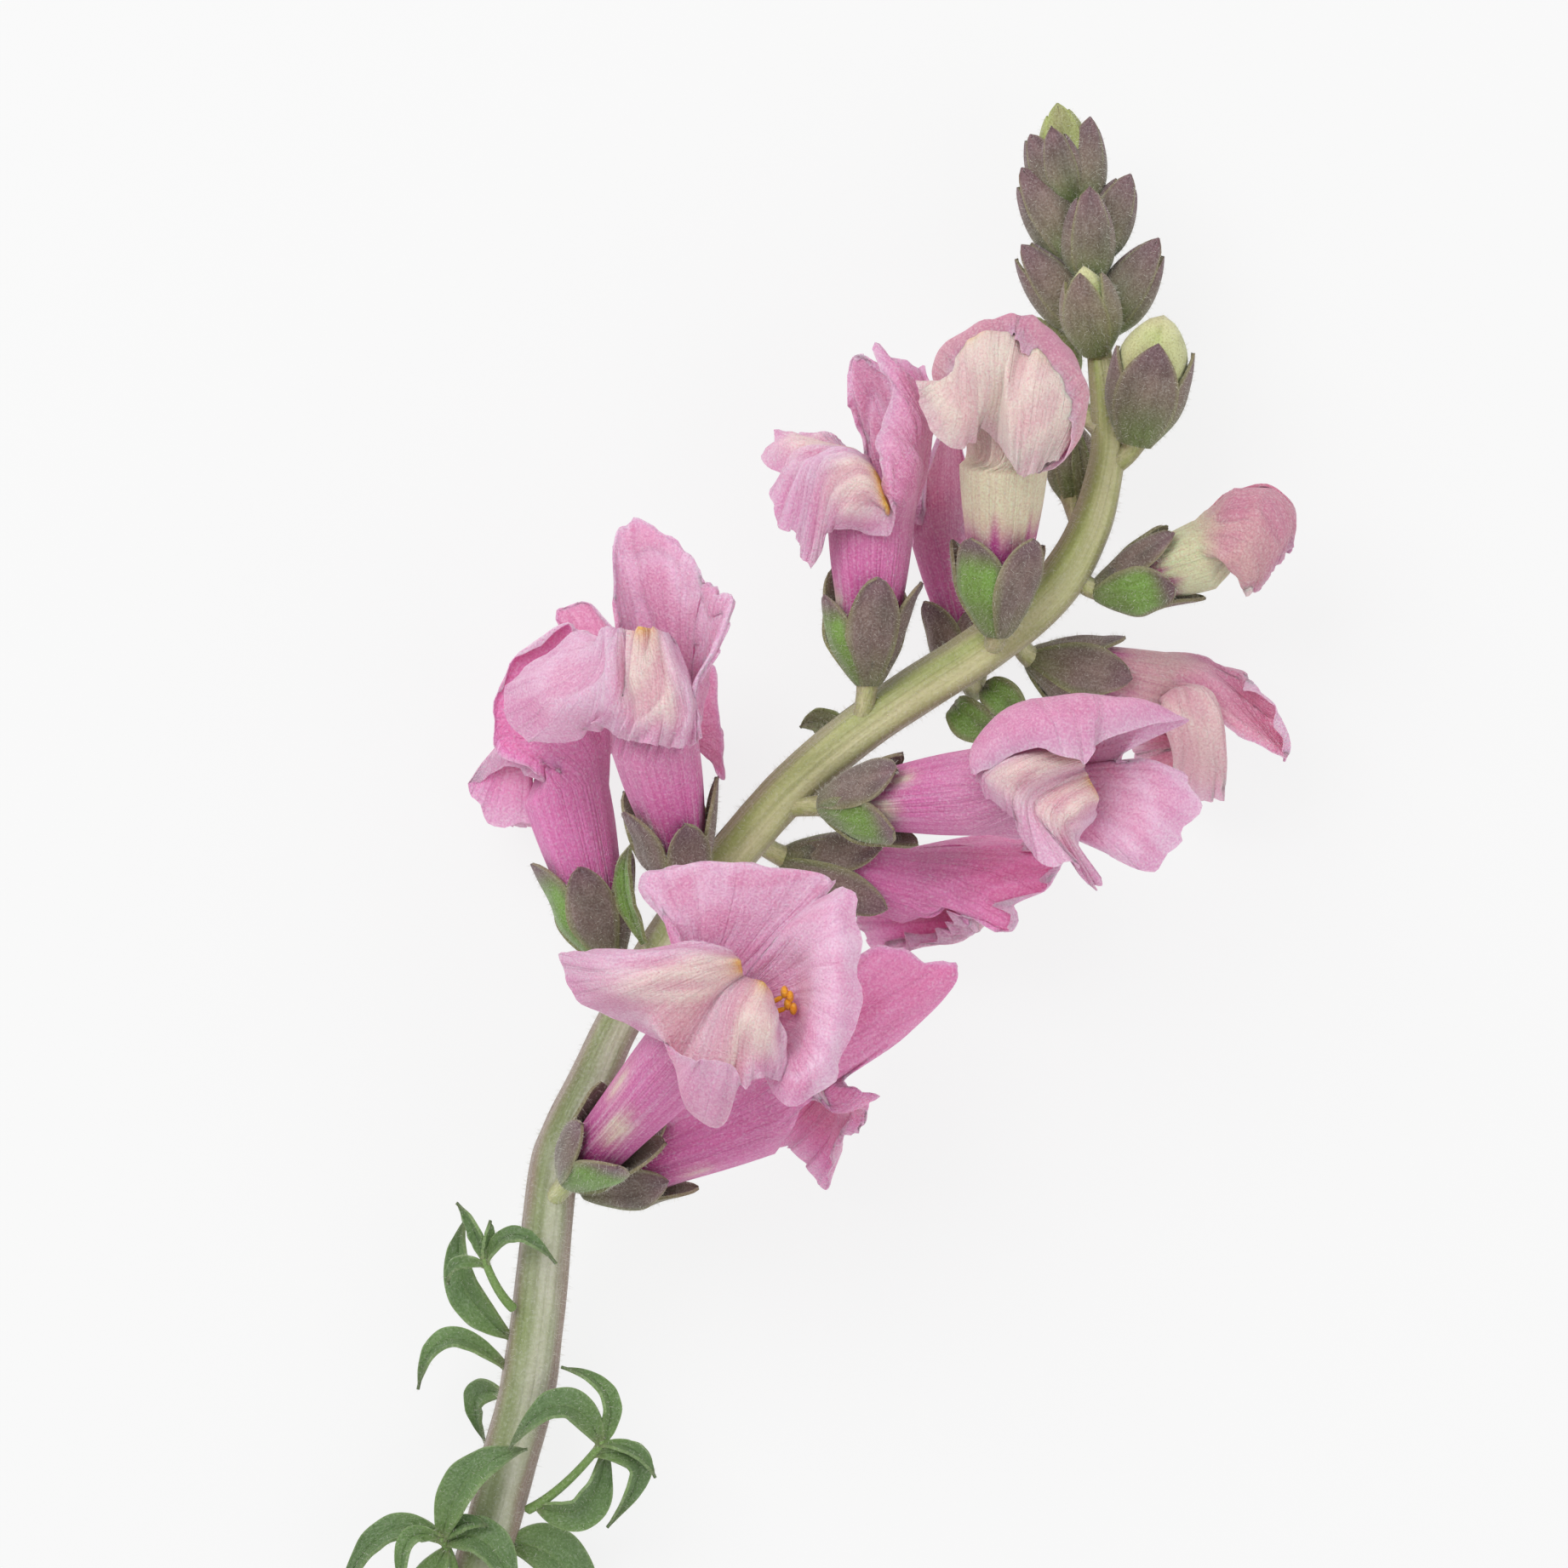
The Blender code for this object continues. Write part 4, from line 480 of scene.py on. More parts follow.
        foot=(131.6, 68.6, 21.0), mouth=(141.5, 65.2, 22.0), up=(-0.2, -0.95, -0.2), joint=3.6,
        size=0.8, palate=0.3, young=1.0, ruffled=1.3, creased=1.8, sepalTurn=22, green=(1,), upperOver=(6, 6),
        mirror=44, rim={
        0: (142.5, 59.5, 21.5, 145.5, 57.4, 21.6, 149.6, 57.2, 21.8, 152.2, 60.2, 22, 151.6, 64.5, 22.2),
        1: (142.5, 59.8, 23.2, 145.5, 57.8, 24.4, 149.5, 58, 25, 151.6, 61.2, 24.6, 150.8, 65.6, 23.6),
        2: (142.6, 60.4, 24.8, 145.4, 59, 26.8, 149, 59.8, 27.6, 150.6, 63.2, 26.8, 149.6, 67, 24.8),
        3: (142.6, 61.6, 26, 145.2, 61, 28.2, 148, 62.4, 28.8, 149, 65.6, 27.4, 148.2, 68.6, 25.2),
        4: (142.4, 63.2, 26.8, 144.6, 63.4, 28.6, 146.6, 65, 28.8, 147.4, 67.4, 27.4, 147.2, 69.6, 25.4),
        5: (142.2, 65.2, 27, 143.6, 65.8, 28.2, 145, 66.8, 28, 146, 68.2, 27, 146.4, 69.6, 25.6),
        6: (148, 67, 25), 7: (148.4, 66.4, 24.2), 8: (148.6, 66, 23.6), 9: (148.8, 65.8, 23),
        10: (149, 65.6, 22.4), 11: (149, 65.6, 22)}),
    "10": dict(
        foot=(124.0, 78.0, 13.5), mouth=(136.0, 81.0, 9.5), up=(0.1, -0.9, -0.4), joint=4.4,
        size=0.9, palate=0.8, young=0.4, ruffled=1.5, creased=1.3, pillows=(112, 136), rim={
        0: (146.5, 79.5, 10), 1: (147.5, 80.8, 14), 2: (149.9, 84.8, 14.5), 3: (151.2, 89.3, 13),
        4: (145.8, 86.6, 15), 5: (139.6, 81.4, 15),
        6: (138.8, 80.6, 13.6, 141.8, 80.8, 15.4, 143.8, 83.4, 16, 144, 87.6, 14.6, 143.5, 91.6, 12),
        7: (138.2, 81.2, 13.6, 140.6, 80.8, 16.2, 141.9, 83.8, 17.2, 142.6, 88.8, 14.8, 142.6, 94.2, 9),
        8: (137.4, 81.8, 13.4, 138.6, 81.2, 16, 139.3, 84.2, 17, 140.2, 88.8, 14.2, 139.5, 93.6, 8),
        9: (136.6, 82.6, 13, 136.8, 82.4, 15.2, 137.2, 84.8, 15.8, 138.2, 88.4, 13.2, 138, 92, 8),
        10: (136, 93, 5), 11: (134, 93, 3), 12: (133, 91, 3), 13: (134, 89, 4), 14: (133, 87, 3),
        15: (134, 84, 2), 16: (137, 82, 3), 17: (139, 82, 4), 18: (143, 83, 3), 19: (147, 84, 3),
        20: (148, 81, 5), 21: (146, 79, 7)}),
    "11": dict(
        foot=(99.5, 94.4, 26.0), mouth=(115.0, 93.0, 35.0), up=(0.5, -0.35, -0.79), joint=8.4,
        palate=1.0, ruffled=1.3, creased=0.7, sepalTurn=20, green=(2,), rim={
        0: (131, 89.2, 40),
        1: (121, 89, 35, 125.5, 86.2, 37.4, 130, 84.2, 39.8, 134.6, 83, 41, 139, 84.8, 40),
        2: (120, 88, 35.5, 123.8, 84.6, 38.5, 127.5, 82.2, 42, 129.6, 82.8, 45.6, 129.4, 87, 47.2),
        3: (118.8, 87.4, 36, 121.4, 83.8, 39.5, 123.6, 82, 44, 125.2, 84.2, 47.8, 126.4, 90.2, 49),
        4: (116.6, 87.4, 37.5, 117, 84.6, 40.5, 118, 83.6, 44.5, 119.4, 85.4, 47.6, 120.4, 88.4, 48.4),
        5: (115, 89.5, 40, 114.4, 88.4, 41.5, 113.9, 88.6, 43, 114, 89.6, 44, 114.6, 90.8, 44.6),
        6: (120.2, 90.2, 40.6, 121.4, 87.8, 42, 117.8, 88.2, 44.2, 115.4, 89.2, 43.2, 114.4, 90.4, 42),
        7: (120.6, 90.8, 41.2, 123.2, 87.9, 43, 118.6, 88.8, 46.4, 115.6, 90.4, 44.8, 114.8, 92.2, 43),
        8: (120.8, 91.4, 41.6, 124.8, 88.2, 43.8, 119.6, 89.6, 48.2, 116.4, 91.4, 46.4, 116.6, 94.2, 44.5),
        9: (120.8, 91.8, 41.8, 126, 88.8, 44, 120.8, 90.4, 48.8, 117.8, 92.6, 47.4, 118.6, 96, 46),
        10: (120.8, 92.2, 41.8, 126.8, 89.6, 43.8, 121.9, 91, 48.2, 119.2, 93.6, 47.4, 119.6, 98, 46.5),
        11: (120.8, 92.6, 41.8, 127, 90.4, 43.4, 123, 91.8, 46.2, 120.4, 94.6, 46.6, 121.9, 101.2, 47),
        12: (121, 93.2, 41.8, 127.2, 90.9, 43.6, 123.8, 92.8, 45.8, 121.6, 95.6, 46.4, 126.2, 101.2, 47),
        13: (121.2, 93.8, 41.8, 127.6, 91.8, 44.2, 124.9, 93.6, 47.2, 122.9, 96.6, 46.8, 126.2, 102.4, 45.5),
        14: (121.6, 94.4, 41.6, 128.2, 93.2, 44.4, 126.2, 94.6, 48, 124.6, 97.4, 46.8, 128.2, 104.2, 43.4),
        15: (122, 95, 41.2, 128.2, 94.8, 43.4, 126.6, 96.4, 46.6, 125.8, 98.4, 45.6, 128.9, 102.8, 42.5),
        16: (122.5, 95.5, 40.5, 127.8, 96, 42, 126.5, 98, 44, 126, 99, 43.2, 126, 100.2, 41.5),
        17: (124.5, 99, 39),
        18: (121, 95.4, 38, 124, 96.6, 39.8, 126.2, 97.8, 41, 127.6, 98.8, 41.4, 128.4, 99.6, 41),
        19: (121.4, 94, 37, 125.6, 95, 39.6, 129.4, 97, 41.8, 132.4, 99.6, 42.4, 134.8, 102.2, 41),
        20: (121.5, 92.5, 36, 126, 92.6, 38.4, 130.6, 93.4, 40.6, 135.2, 95.2, 41.4, 139.5, 97.2, 39.5),
        21: (121.5, 91, 35.5, 126, 90.4, 37.6, 130.5, 89.8, 39.4, 135, 89.6, 40, 139.4, 90.6, 38.5)}),
    "12": dict(
        foot=(95.0, 101.4, 15.5), mouth=(107.0, 104.0, 14.0), up=(0.0, -0.95, 0.3), joint=8.9,
        size=0.9, palate=0.8, ruffled=2.6, creased=1.6, bright=0.5, rim={
        0: (121, 99, 19), 1: (124, 101, 22), 2: (123, 104, 23), 3: (119, 106.5, 22), 4: (118, 109.6, 20),
        5: (113.5, 107.6, 19), 6: (112, 108, 18), 7: (111.6, 110.6, 14), 8: (108.2, 112.5, 11),
        9: (106, 110.5, 10), 10: (103.5, 111.8, 8), 11: (101, 109, 7), 12: (102, 107, 6), 13: (104, 106, 5),
        14: (103, 104, 3), 15: (105, 101, 3), 16: (109, 100, 4), 17: (112, 100, 7), 18: (116, 98, 5),
        19: (120, 96, 6), 20: (123, 96, 9), 21: (123, 97, 14)}),
}


class Tube:  # a round body along an axis, which petals grow from and sepals lie on

    def __init__(self, foot, mouth, up, radii, pouch=0.0, size=1.0):
        self.foot = place(foot)
        self.mouth = place(mouth)
        self.forward = (self.mouth - self.foot).normalized()
        self.length = (self.mouth - self.foot).length
        up = direction(up)
        self.up = (up - self.forward * up.dot(self.forward)).normalized()
        self.side = self.forward.cross(self.up)
        self.size = size
        self.radii = [radius * size for radius in radii]
        self.pouch = pouch * size

    def outward(self, turn):
        return self.up * cos(radians(turn)) + self.side * sin(radians(turn))

    def radius(self, turn, along):
        low = max(0.0, -cos(radians(turn)))
        swelling = self.pouch * low * hill(along, 0.12, 0.16)
        return through(self.radii, max(0.0, min(along, 1.0))) + swelling

    def point(self, turn, along, lift=0.0):
        centre = self.foot + self.forward * (self.length * along)
        return centre + self.outward(turn) * (self.radius(turn, along) + lift)

    def ahead(self, spot):  # a place before the mouth: forward, up and to the side
        return self.mouth + (self.forward * spot[0] + self.up * spot[1] + self.side * spot[2]) * self.size


def bloomTube(bloom):
    return Tube(bloom["foot"], bloom["mouth"], bloom["up"], petals["tubeRadii"], petals["pouch"],
                bloom.get("size", 1.0))


def mounds(turn, bloom):  # the palate's two pillows, on either side of its groove
    pillows = bloom.get("pillows", petals["pillows"])
    return min(1.0, sum(hill(turn, middle, petals["mound"]) for middle in pillows))


def petalTints(bloom, turn, reach, fold):
    # colours of the inner and outer face, from 0 at the foot to 1 at the mouth and 2 at the edge, with
    # painted shade deep in the tube, under the upper lip and in a crease; the last two values say how much
    # the streaks show
    p, young = petalPaint, bloom.get("young", 0.0)
    lower = 0.5 - 0.5 * cos(radians(turn))
    swell = mounds(turn, bloom)
    pillow = min(1.0, 1.5 * swell) * hill(reach, 1.62, 0.32)
    gold = 2.2 * swell ** 2 * hill(reach, 1.33, 0.1)
    streak = stepped(0.0, 0.5, ripple(turn / 5, reach * 1.3, 8)) * hill(reach, 0.4, 0.3)
    patch = hill(turn, 180, 20) * hill(reach, 0.4, 0.09) + 0.7 * hill(turn, 128, 15) * hill(reach, 0.55, 0.09)
    patch *= 1.0 + 0.8 * ripple(turn / 9, reach * 9, 3)
    sprouting = stepped(0.42, 0.72, reach + 0.2 * ripple(turn / 14, 1, 5))
    # painted shade: the inner face just inside the mouth, under the upper lip
    throat = hill(reach, 1.28, 0.15) * (1 - lower) * (1 - young)
    lobes = stepped(1.78, 1.9, reach) * stepped(0.4, 0.7, lower) * (1 - young)
    # painted shade: how far a crease sinks, to darken the petals in its valleys
    crease = stepped(0.1, -0.6, fold) * stepped(1.05, 1.3, reach)
    edge = stepped(1.9, 2.0, reach)

    # a low bloom's tube is lightened by its share of painted light
    back = layered(p, p["foot"], tube=stepped(0.1, 0.65, reach), rose=stepped(0.5, 1.2, reach),
                   back=stepped(1.1, 1.7, reach), streak=0.36 * streak, cream=min(0.75, max(0.0, patch)),
                   bright=bloom.get("bright", 0.0) * stepped(0.1, 0.6, reach))
    hood = layered(p, p["dusty"], cream=0.75 * lower)
    youngBack = blended(layered(p, p["foot"], sprout=sprouting), hood, stepped(0.95, 1.35, reach))
    # deep over a crease of the outer face is painted shade
    back = layered(p, blended(back, youngBack, young), blush=min(1.0, 0.3 + young) * pillow,
                   deep=0.2 * crease, lilac=0.45 * edge)
    face = layered(p, p["shade"], throat=stepped(0.3, 1.05, reach), lilac=stepped(1.05, 1.6, reach))
    face = blended(face, layered(p, p["lilac"], cream=0.9 * stepped(0.2, 0.7, lower)), 0.85 * young)
    # deep over the throat is painted shade under the upper lip
    face = layered(p, face, deep=0.25 * throat, blush=0.95 * pillow, back=0.5 * lobes,
                   yellow=0.95 * min(1.0, 1.2 * gold))
    # painted shade: the inner face darkened in a crease, less on a young bloom
    face = layered(p, face, deep=(0.34 - 0.16 * young) * crease, rose=0.15 * edge)
    return face, back, 0.6 - 0.45 * pillow - 0.2 * young, (1.0 - 0.6 * young) * stepped(2.6, 0.8, reach)


def around(values, u):  # a smooth closed curve through the values, read at u from 0 to 1
    spot = (u % 1.0) * len(values)
    i = int(spot)
    window = [values[(i + k) % len(values)] for k in (-1, 0, 1, 2)]
    return through(window, (1 + spot - i) / 3)


def turnAt(u):
    spot = (u % 1.0) * len(rimTurns)
    i = int(spot)
    after = rimTurns[(i + 1) % len(rimTurns)] + (360 if i + 1 == len(rimTurns) else 0)
    return rimTurns[i] + (after - rimTurns[i]) * (spot - i)


def rimPlaces(bloom, tube, i):  # where a point of the rim is given, or its place on a full lip
    rim = bloom["rim"]
    far = i not in rim and "mirror" in bloom
    row = rim.get(len(rimTurns) - i if far else i)
    if row is None:
        return [tube.ahead(rimForm[i])]
    spots = [place(row[k:k + 3]) for k in range(0, len(row), 3)]
    for spot in spots:
        spot.z = bloom["mirror"] - spot.z if far else spot.z
    return spots


def lipNet(bloom, tube):
    # for each point of the rim, six knots from the mouth of the tube to the edge
    over = bloom.get("upperOver", (4.0, 0.0))
    puff = bloom["palate"]
    flare = radians(petals["flare"])
    net = []
    for i, turn in enumerate(rimTurns):
        given = rimPlaces(bloom, tube, i)
        edge = given[-1]
        start = tube.point(turn, 1.0)
        lead = (tube.forward * cos(flare) + tube.outward(turn) * sin(flare)) * (edge - start).length * 0.36
        beyond = edge + (tube.forward * over[0] + tube.up * over[1]) * tube.size
        knots = curved([start, start + lead, beyond, edge], 5)
        lip = stepped(88, 122, 180 - abs(turn - 180))
        if lip > 0:
            mound, aside = mounds(turn, bloom) * puff, sin(radians(turn))
            folded = [start]
            for forward, up, wide, swellForward, swellUp in palateForm:
                spot = (forward + swellForward * mound, up + swellUp * mound, wide * aside)
                folded.append(tube.ahead(spot))
            folded.append(folded[-1].lerp(edge, 0.55) + tube.forward * 1.5 * tube.size)
            folded.append(edge)
            knots = [a.lerp(b, lip) for a, b in zip(knots, folded)]
        knots[6 - len(given):] = given
        net.append(knots)
    return net


def corolla(number, bloom):  # the tube and both lips of a bloom as one sheet
    tube = bloomTube(bloom)
    seed, size = int(number), tube.size
    tubeRows, limbRows = petals["tubeRows"], petals["limbRows"]
    rows = 1 + tubeRows + limbRows
    net = lipNet(bloom, tube)
    rings = [[through(knots, k / limbRows) for knots in net] for k in range(limbRows + 1)]
    ruffled, creased = bloom.get("ruffled", 1.0), bloom.get("creased", 1.0)

    def form(u, v):
        turn = turnAt(u)
        step = round(v * rows)
        tubeAlong = (step - 1) / tubeRows
        along = tubeAlong * tubeRows / limbRows - tubeRows / limbRows
        fold = 0.5 - 3 * abs(ripple(u * petals["creases"] + along * 2, along * 3.5, seed + 0.2))
        if step == 0:
            point, reach = tube.foot - tube.forward * 0.1, 0.0
        elif along <= 0:
            reach = tubeAlong
            point = tube.point(turn, reach, 0.12 * ripple(turn / 25, reach * 2, seed))
        else:
            reach = 1 + along
            point = around(rings[step - 1 - tubeRows], u)
            outer = tube.outward(turn)
            wave = petals["ruffle"] * along ** 3 * ripple(u * petals["ruffles"], along * 1.5, seed)
            wave += petals["frill"] * along ** 6 * ripple(u * petals["frills"], along * 2, seed + 0.7)
            crumple = petals["crumple"] * sin(pi * along)
            crumple *= ripple(u * petals["crumples"], along * 3, seed + 0.5)
            crumple += petals["crease"] * creased * sin(pi * along) ** 0.5 * max(-0.6, fold)
            point += (outer * 0.6 + tube.forward * 0.6) * (wave * ruffled + crumple) * size
            bite = petals["bite"] * ruffled * along ** 8 * ripple(u * petals["bites"], 3.3, seed)
            point += (point - tube.mouth).normalized() * bite * size
        face, back, faceLines, backLines = petalTints(bloom, turn, reach, fold)
        wall = 1 - (1 - petals["edge"]) * stepped(1.75, 2.0, reach)
        return settled(point, petals["floor"]), (*face, faceLines), (*back, backLines), wall

    sheet = shapedGrid(f"petals_{number}", len(net) * petals["across"], rows, form, closed=True)
    dressed(sheet, petalBack, petalFace)
    thickened(sheet, petals["thickness"])
    return handedIn(smoothed(sheet, 75), "petal", f"corolla_{number}")


for number, bloom in blooms.items():
    corolla(number, bloom)
print("petals grown")


# Sepals

sepals = dict(count=5, length=10.8, width=3.3, thickness=0.4, cupDepth=3.4, cupRadius=3.0, lift=0.75,
              drop=2.0, floor=0.25)
sepalPaint = dict(brown=paint(144, 114, 118), dark=paint(100, 82, 88), green=paint(122, 160, 76),
                  rim=paint(160, 160, 112), base=paint(126, 138, 92), fresh=paint(192, 210, 116))


def sepalTints(green, across, along, seed, fresh=0.0):
    p, side = sepalPaint, abs(across)
    shade = ripple(across * 1.5, along * 3, seed)
    core = min(1.0, green * 1.1) * (1 - stepped(0.62, 0.95, along)) * (1 - 0.7 * stepped(0.6, 1.0, side))
    margin = 0.6 * stepped(0.5, 0.95, side) * (1 - along)
    colour = layered(p, p["brown"], dark=0.35 + 0.5 * shade, green=max(core, margin))
    colour = blended(p["base"], colour, stepped(-0.1, 0.35, along + 0.12 * shade))
    colour = layered(p, colour, rim=0.55 * stepped(0.78, 1.0, side), fresh=fresh * (0.6 + 0.4 * side))
    return (*colour, 1.0), (*layered(p, colour, green=0.3), 1.0)


def sepalWidth(along, pointed=0.62):  # half width, as a share, from the cup to the tip
    return max(0.03, sin(pi * (0.2 + 0.8 * along) ** 1.15)) ** pointed if along < 1 else 0.0


def calyx(number, bloom):
    tube = bloomTube(bloom)
    size = tube.size
    cup = sepals["cupRadius"] - (1 - size) * petals["tubeRadii"][0]
    greens = bloom.get("green", ())
    drop = sepals["drop"]
    blades = []
    for k in range(sepals["count"]):
        middle = 360 / sepals["count"] * (k + 0.5) + bloom.get("sepalTurn", 0)
        length = sepals["length"] * (0.5 + 0.5 * size) * (1.0 + 0.14 * sin(2.4 * k + int(number)))
        width = sepals["width"] * (0.6 + 0.4 * size) * (1.0 + 0.1 * cos(1.7 * k + int(number)))
        width *= 1.3 if k in greens else 1.0
        lift = sepals["lift"] + 0.3 * (k % 2)
        flare = 0.9 + 0.9 * ripple(k * 1.3, int(number), 5)

        def form(u, v):
            across = (u - 0.5) * 2
            half = width * sepalWidth(v)
            low = (v * length - drop) / tube.length
            radius = tube.radius(middle, low) + lift + 0.6
            turn = middle + across * half / radius * oneRadian
            spread = lift + flare * v ** 3 + 0.3 * (abs(across) - 0.5) * (1 - v)
            spread += 0.35 * sin(pi * v) + 0.35 * ripple(across * 1.2, v * 2.5, k + int(number))
            spread -= 0.3 * (1 - min(1.0, abs(across) * 4)) * (1 - v)
            point = tube.point(turn, low, spread)
            root = stepped(0.0, 0.3, v)
            seat = tube.foot - tube.forward * (drop + 1.2) + tube.outward(turn) * (cup - 1.7)
            face, back = sepalTints(1.0 if k in greens else 0.12, across, v, k + int(number))
            return settled(seat.lerp(point, root), sepals["floor"]), face, back

        blade = shapedGrid(f"sepal_{k}", 12, 22, form)
        dressed(blade, sepalFace, sepalBack)
        blades.append(thickened(blade, sepals["thickness"]))

    def cupForm(u, v):
        turn = 360 * u
        low = tube.foot - tube.forward * (sepals["cupDepth"] * (1 - v) ** 1.5 - 0.4 * v)
        point = low + tube.outward(turn) * cup * sin(pi / 2 * min(1.0, v * 1.25)) ** 0.8
        colour = (*blended(sepalPaint["base"], sepalPaint["dark"], v), 1.0)
        return settled(point, sepals["floor"]), colour, colour

    base = shapedGrid("cup", 24, 8, cupForm, closed=True)
    dressed(base, sepalFace, sepalBack)
    thickened(base, sepals["thickness"])
    piece = joined([*blades, base], f"sepals_{number}")
    return handedIn(smoothed(piece), "sepal", f"calyx_{number}")


for number, bloom in blooms.items():
    calyx(number, bloom)
print("sepals set")


# Buds: foot, tip, width. The head's buds sit on its own axis.

buds = dict(
    axis=((129.3, 42.2, 17.4, 1.5), (128.6, 37.0, 16.6, 1.7), (127.4, 30.0, 15.8, 1.7),
          (126.0, 22.0, 15.2, 1.5), (125.2, 17.0, 15.0, 1.2)),
    head=(
        ((129.0, 41.2, 18.2), (127.2, 30.2, 22.5), 6.8), ((128.0, 38.6, 16.8), (119.6, 28.2, 17.2), 5.8),
        ((129.6, 38.8, 16.4), (136.4, 27.9, 17.2), 5.8), ((128.0, 33.0, 16.8), (127.9, 21.9, 20.8), 5.8),
        ((127.0, 30.6, 16.0), (120.0, 19.4, 16.6), 6.0), ((128.2, 30.4, 15.8), (132.9, 20.2, 16.2), 5.4),
        ((126.0, 24.0, 15.6), (121.2, 15.2, 16.4), 5.2), ((126.6, 25.0, 15.6), (128.0, 13.4, 16.4), 5.2),
        ((126.0, 23.4, 16.4), (123.8, 14.8, 19.0), 4.4), ((126.0, 22.0, 15.4), (124.4, 11.8, 16.4), 5.6),
        ((128.2, 37.6, 15.4), (126.2, 27.0, 10.8), 5.8), ((126.8, 29.4, 15.0), (125.2, 20.0, 11.2), 5.4)),
    side={
        "bud_01": dict(foot=(133.4, 52.0, 21.0), tip=(137.0, 36.0, 23.4), width=9.4, joint=2.1),
        "bud_02": dict(foot=(125.4, 45.4, 15.6), tip=(121.2, 37.2, 14.2), width=6.6, joint=1.4),
        "bud_03": dict(foot=(126.4, 58.6, 13.6), tip=(126.2, 49.4, 10.6), width=5.8, joint=3.0)},
    parted={0: 0.3, 20: 0.7}, fresh={9: 0.9, 0: 0.15, 21: 0.6},  # the buds' own numbers
    body=(0.16, 0.4, 0.43, 0.3, 0.02), full=(0.16, 0.4, 0.45, 0.4, 0.24),
    sepalReach=1.0, sepalShare=0.43, thickness=0.38)
budPaint = dict(young=paint(150, 170, 96), pale=paint(222, 220, 168), lime=paint(176, 196, 112),
                axis=paint(158, 172, 112))


def bud(name, foot, tip, width, seed):
    parted, fresh = buds["parted"].get(seed, 0.0), buds["fresh"].get(seed, 0.0)
    shape = buds["full"] if parted > 0.5 else buds["body"]
    body = Tube(foot, tip, (0.0, 0.0, 1.0), [radius * width for radius in shape])
    parts = []

    def coreForm(u, v):
        along = 0.02 + (0.88 + 0.06 * parted) * v
        turn = 360 * u
        axis = body.foot + body.forward * body.length * along
        cap = sqrt(max(0.0, 1 - max(0.0, (v - 0.66) / 0.34) ** 2)) if v > 0 else 0.0
        groove = 1 - 0.22 * parted * hill((turn + 195) % 360 - 180, 0, 15)
        groove += 0.05 * ripple(turn / 50, v * 3, seed)
        green = layered(budPaint, budPaint["young"], pale=max(parted, stepped(0.6, 1.0, v)),
                        lime=0.5 * stepped(0.0, 0.5, ripple(turn / 30, v * 4, seed + 1)))
        return axis.lerp(body.point(turn, along), cap * groove), (*green, 0.3), (*green, 0.3)

    core = shapedGrid("core", 32, 20, coreForm, closed=True)
    outwards(core)
    dressed(core, sepalBack, sepalFace)
    parts.append(core)
    for k in range(5):
        layer = min(k, 5 - k)  # 0 for the sepal on top, 2 for the lowest two
        middle = 72 * k + 26 * ripple(k * 1.7, seed * 2.3, 2)
        length = body.length * (buds["sepalReach"] - 0.1 * layer + 0.1 * ripple(k * 1.3, seed * 1.9, 4))
        length *= 1 - 0.34 * parted

        def form(u, v):
            across = (u - 0.5) * 2
            low = length * v / body.length
            half = buds["sepalShare"] * width * sepalWidth(v, 0.9)
            radius = max(0.55, body.radius(middle, low)) + 0.3
            turn = middle + across * min(80.0, half / radius * oneRadian)
            spread = 0.5 - 0.12 * layer + 0.25 * (1 - abs(across)) * sin(pi * v)
            spread += (0.45 - 0.3 * layer) * v ** 5 - 0.12 * hill(across, 0, 0.12)
            green = 0.1 + 0.8 * (1 - v) ** 3
            face, back = sepalTints(green, across, v, seed + k, fresh * (1 if k else 0.7))
            return body.point(turn, low, spread), face, back

        blade = shapedGrid(f"blade_{k}", 10, 20, form)
        dressed(blade, sepalFace, sepalBack)
        parts.append(thickened(blade, buds["thickness"]))
    return joined(parts, name)


def budHead():
    knots = [place(knot[:3]) for knot in buds["axis"]]
    sizes = [knot[3] for knot in buds["axis"]]

    def form(u, v):
        point = through(knots, v)
        ahead = (through(knots, min(1, v + 0.02)) - through(knots, max(0, v - 0.02))).normalized()
        side = ahead.orthogonal().normalized()
        face = ahead.cross(side)
        turn = 2 * pi * u
        thick = through(sizes, v) * (0 if v in (0, 1) else 1)
        colour = (*budPaint["axis"], 0.5)
        return point + (side * cos(turn) + face * sin(turn)) * thick, colour, colour

    axis = shapedGrid("axis", 16, 24, form, closed=True)
    outwards(axis)
    dressed(axis, sepalFace, sepalBack)
    parts = [axis]
    for i, (foot, tip, width) in enumerate(buds["head"]):
        parts.append(bud(f"head_{i}", foot, tip, width, i))
    piece = joined(parts, "budHead")
    return handedIn(smoothed(piece), "sepal", "bud_head")


budHead()
for i, (name, spec) in enumerate(buds["side"].items()):
    piece = bud(f"sideBud_{i + 1}", spec["foot"], spec["tip"], spec["width"], i + 20)
    handedIn(smoothed(piece), "sepal", name)
print("buds set")


# Stem: plan place and radius, from under the buds to the cut end

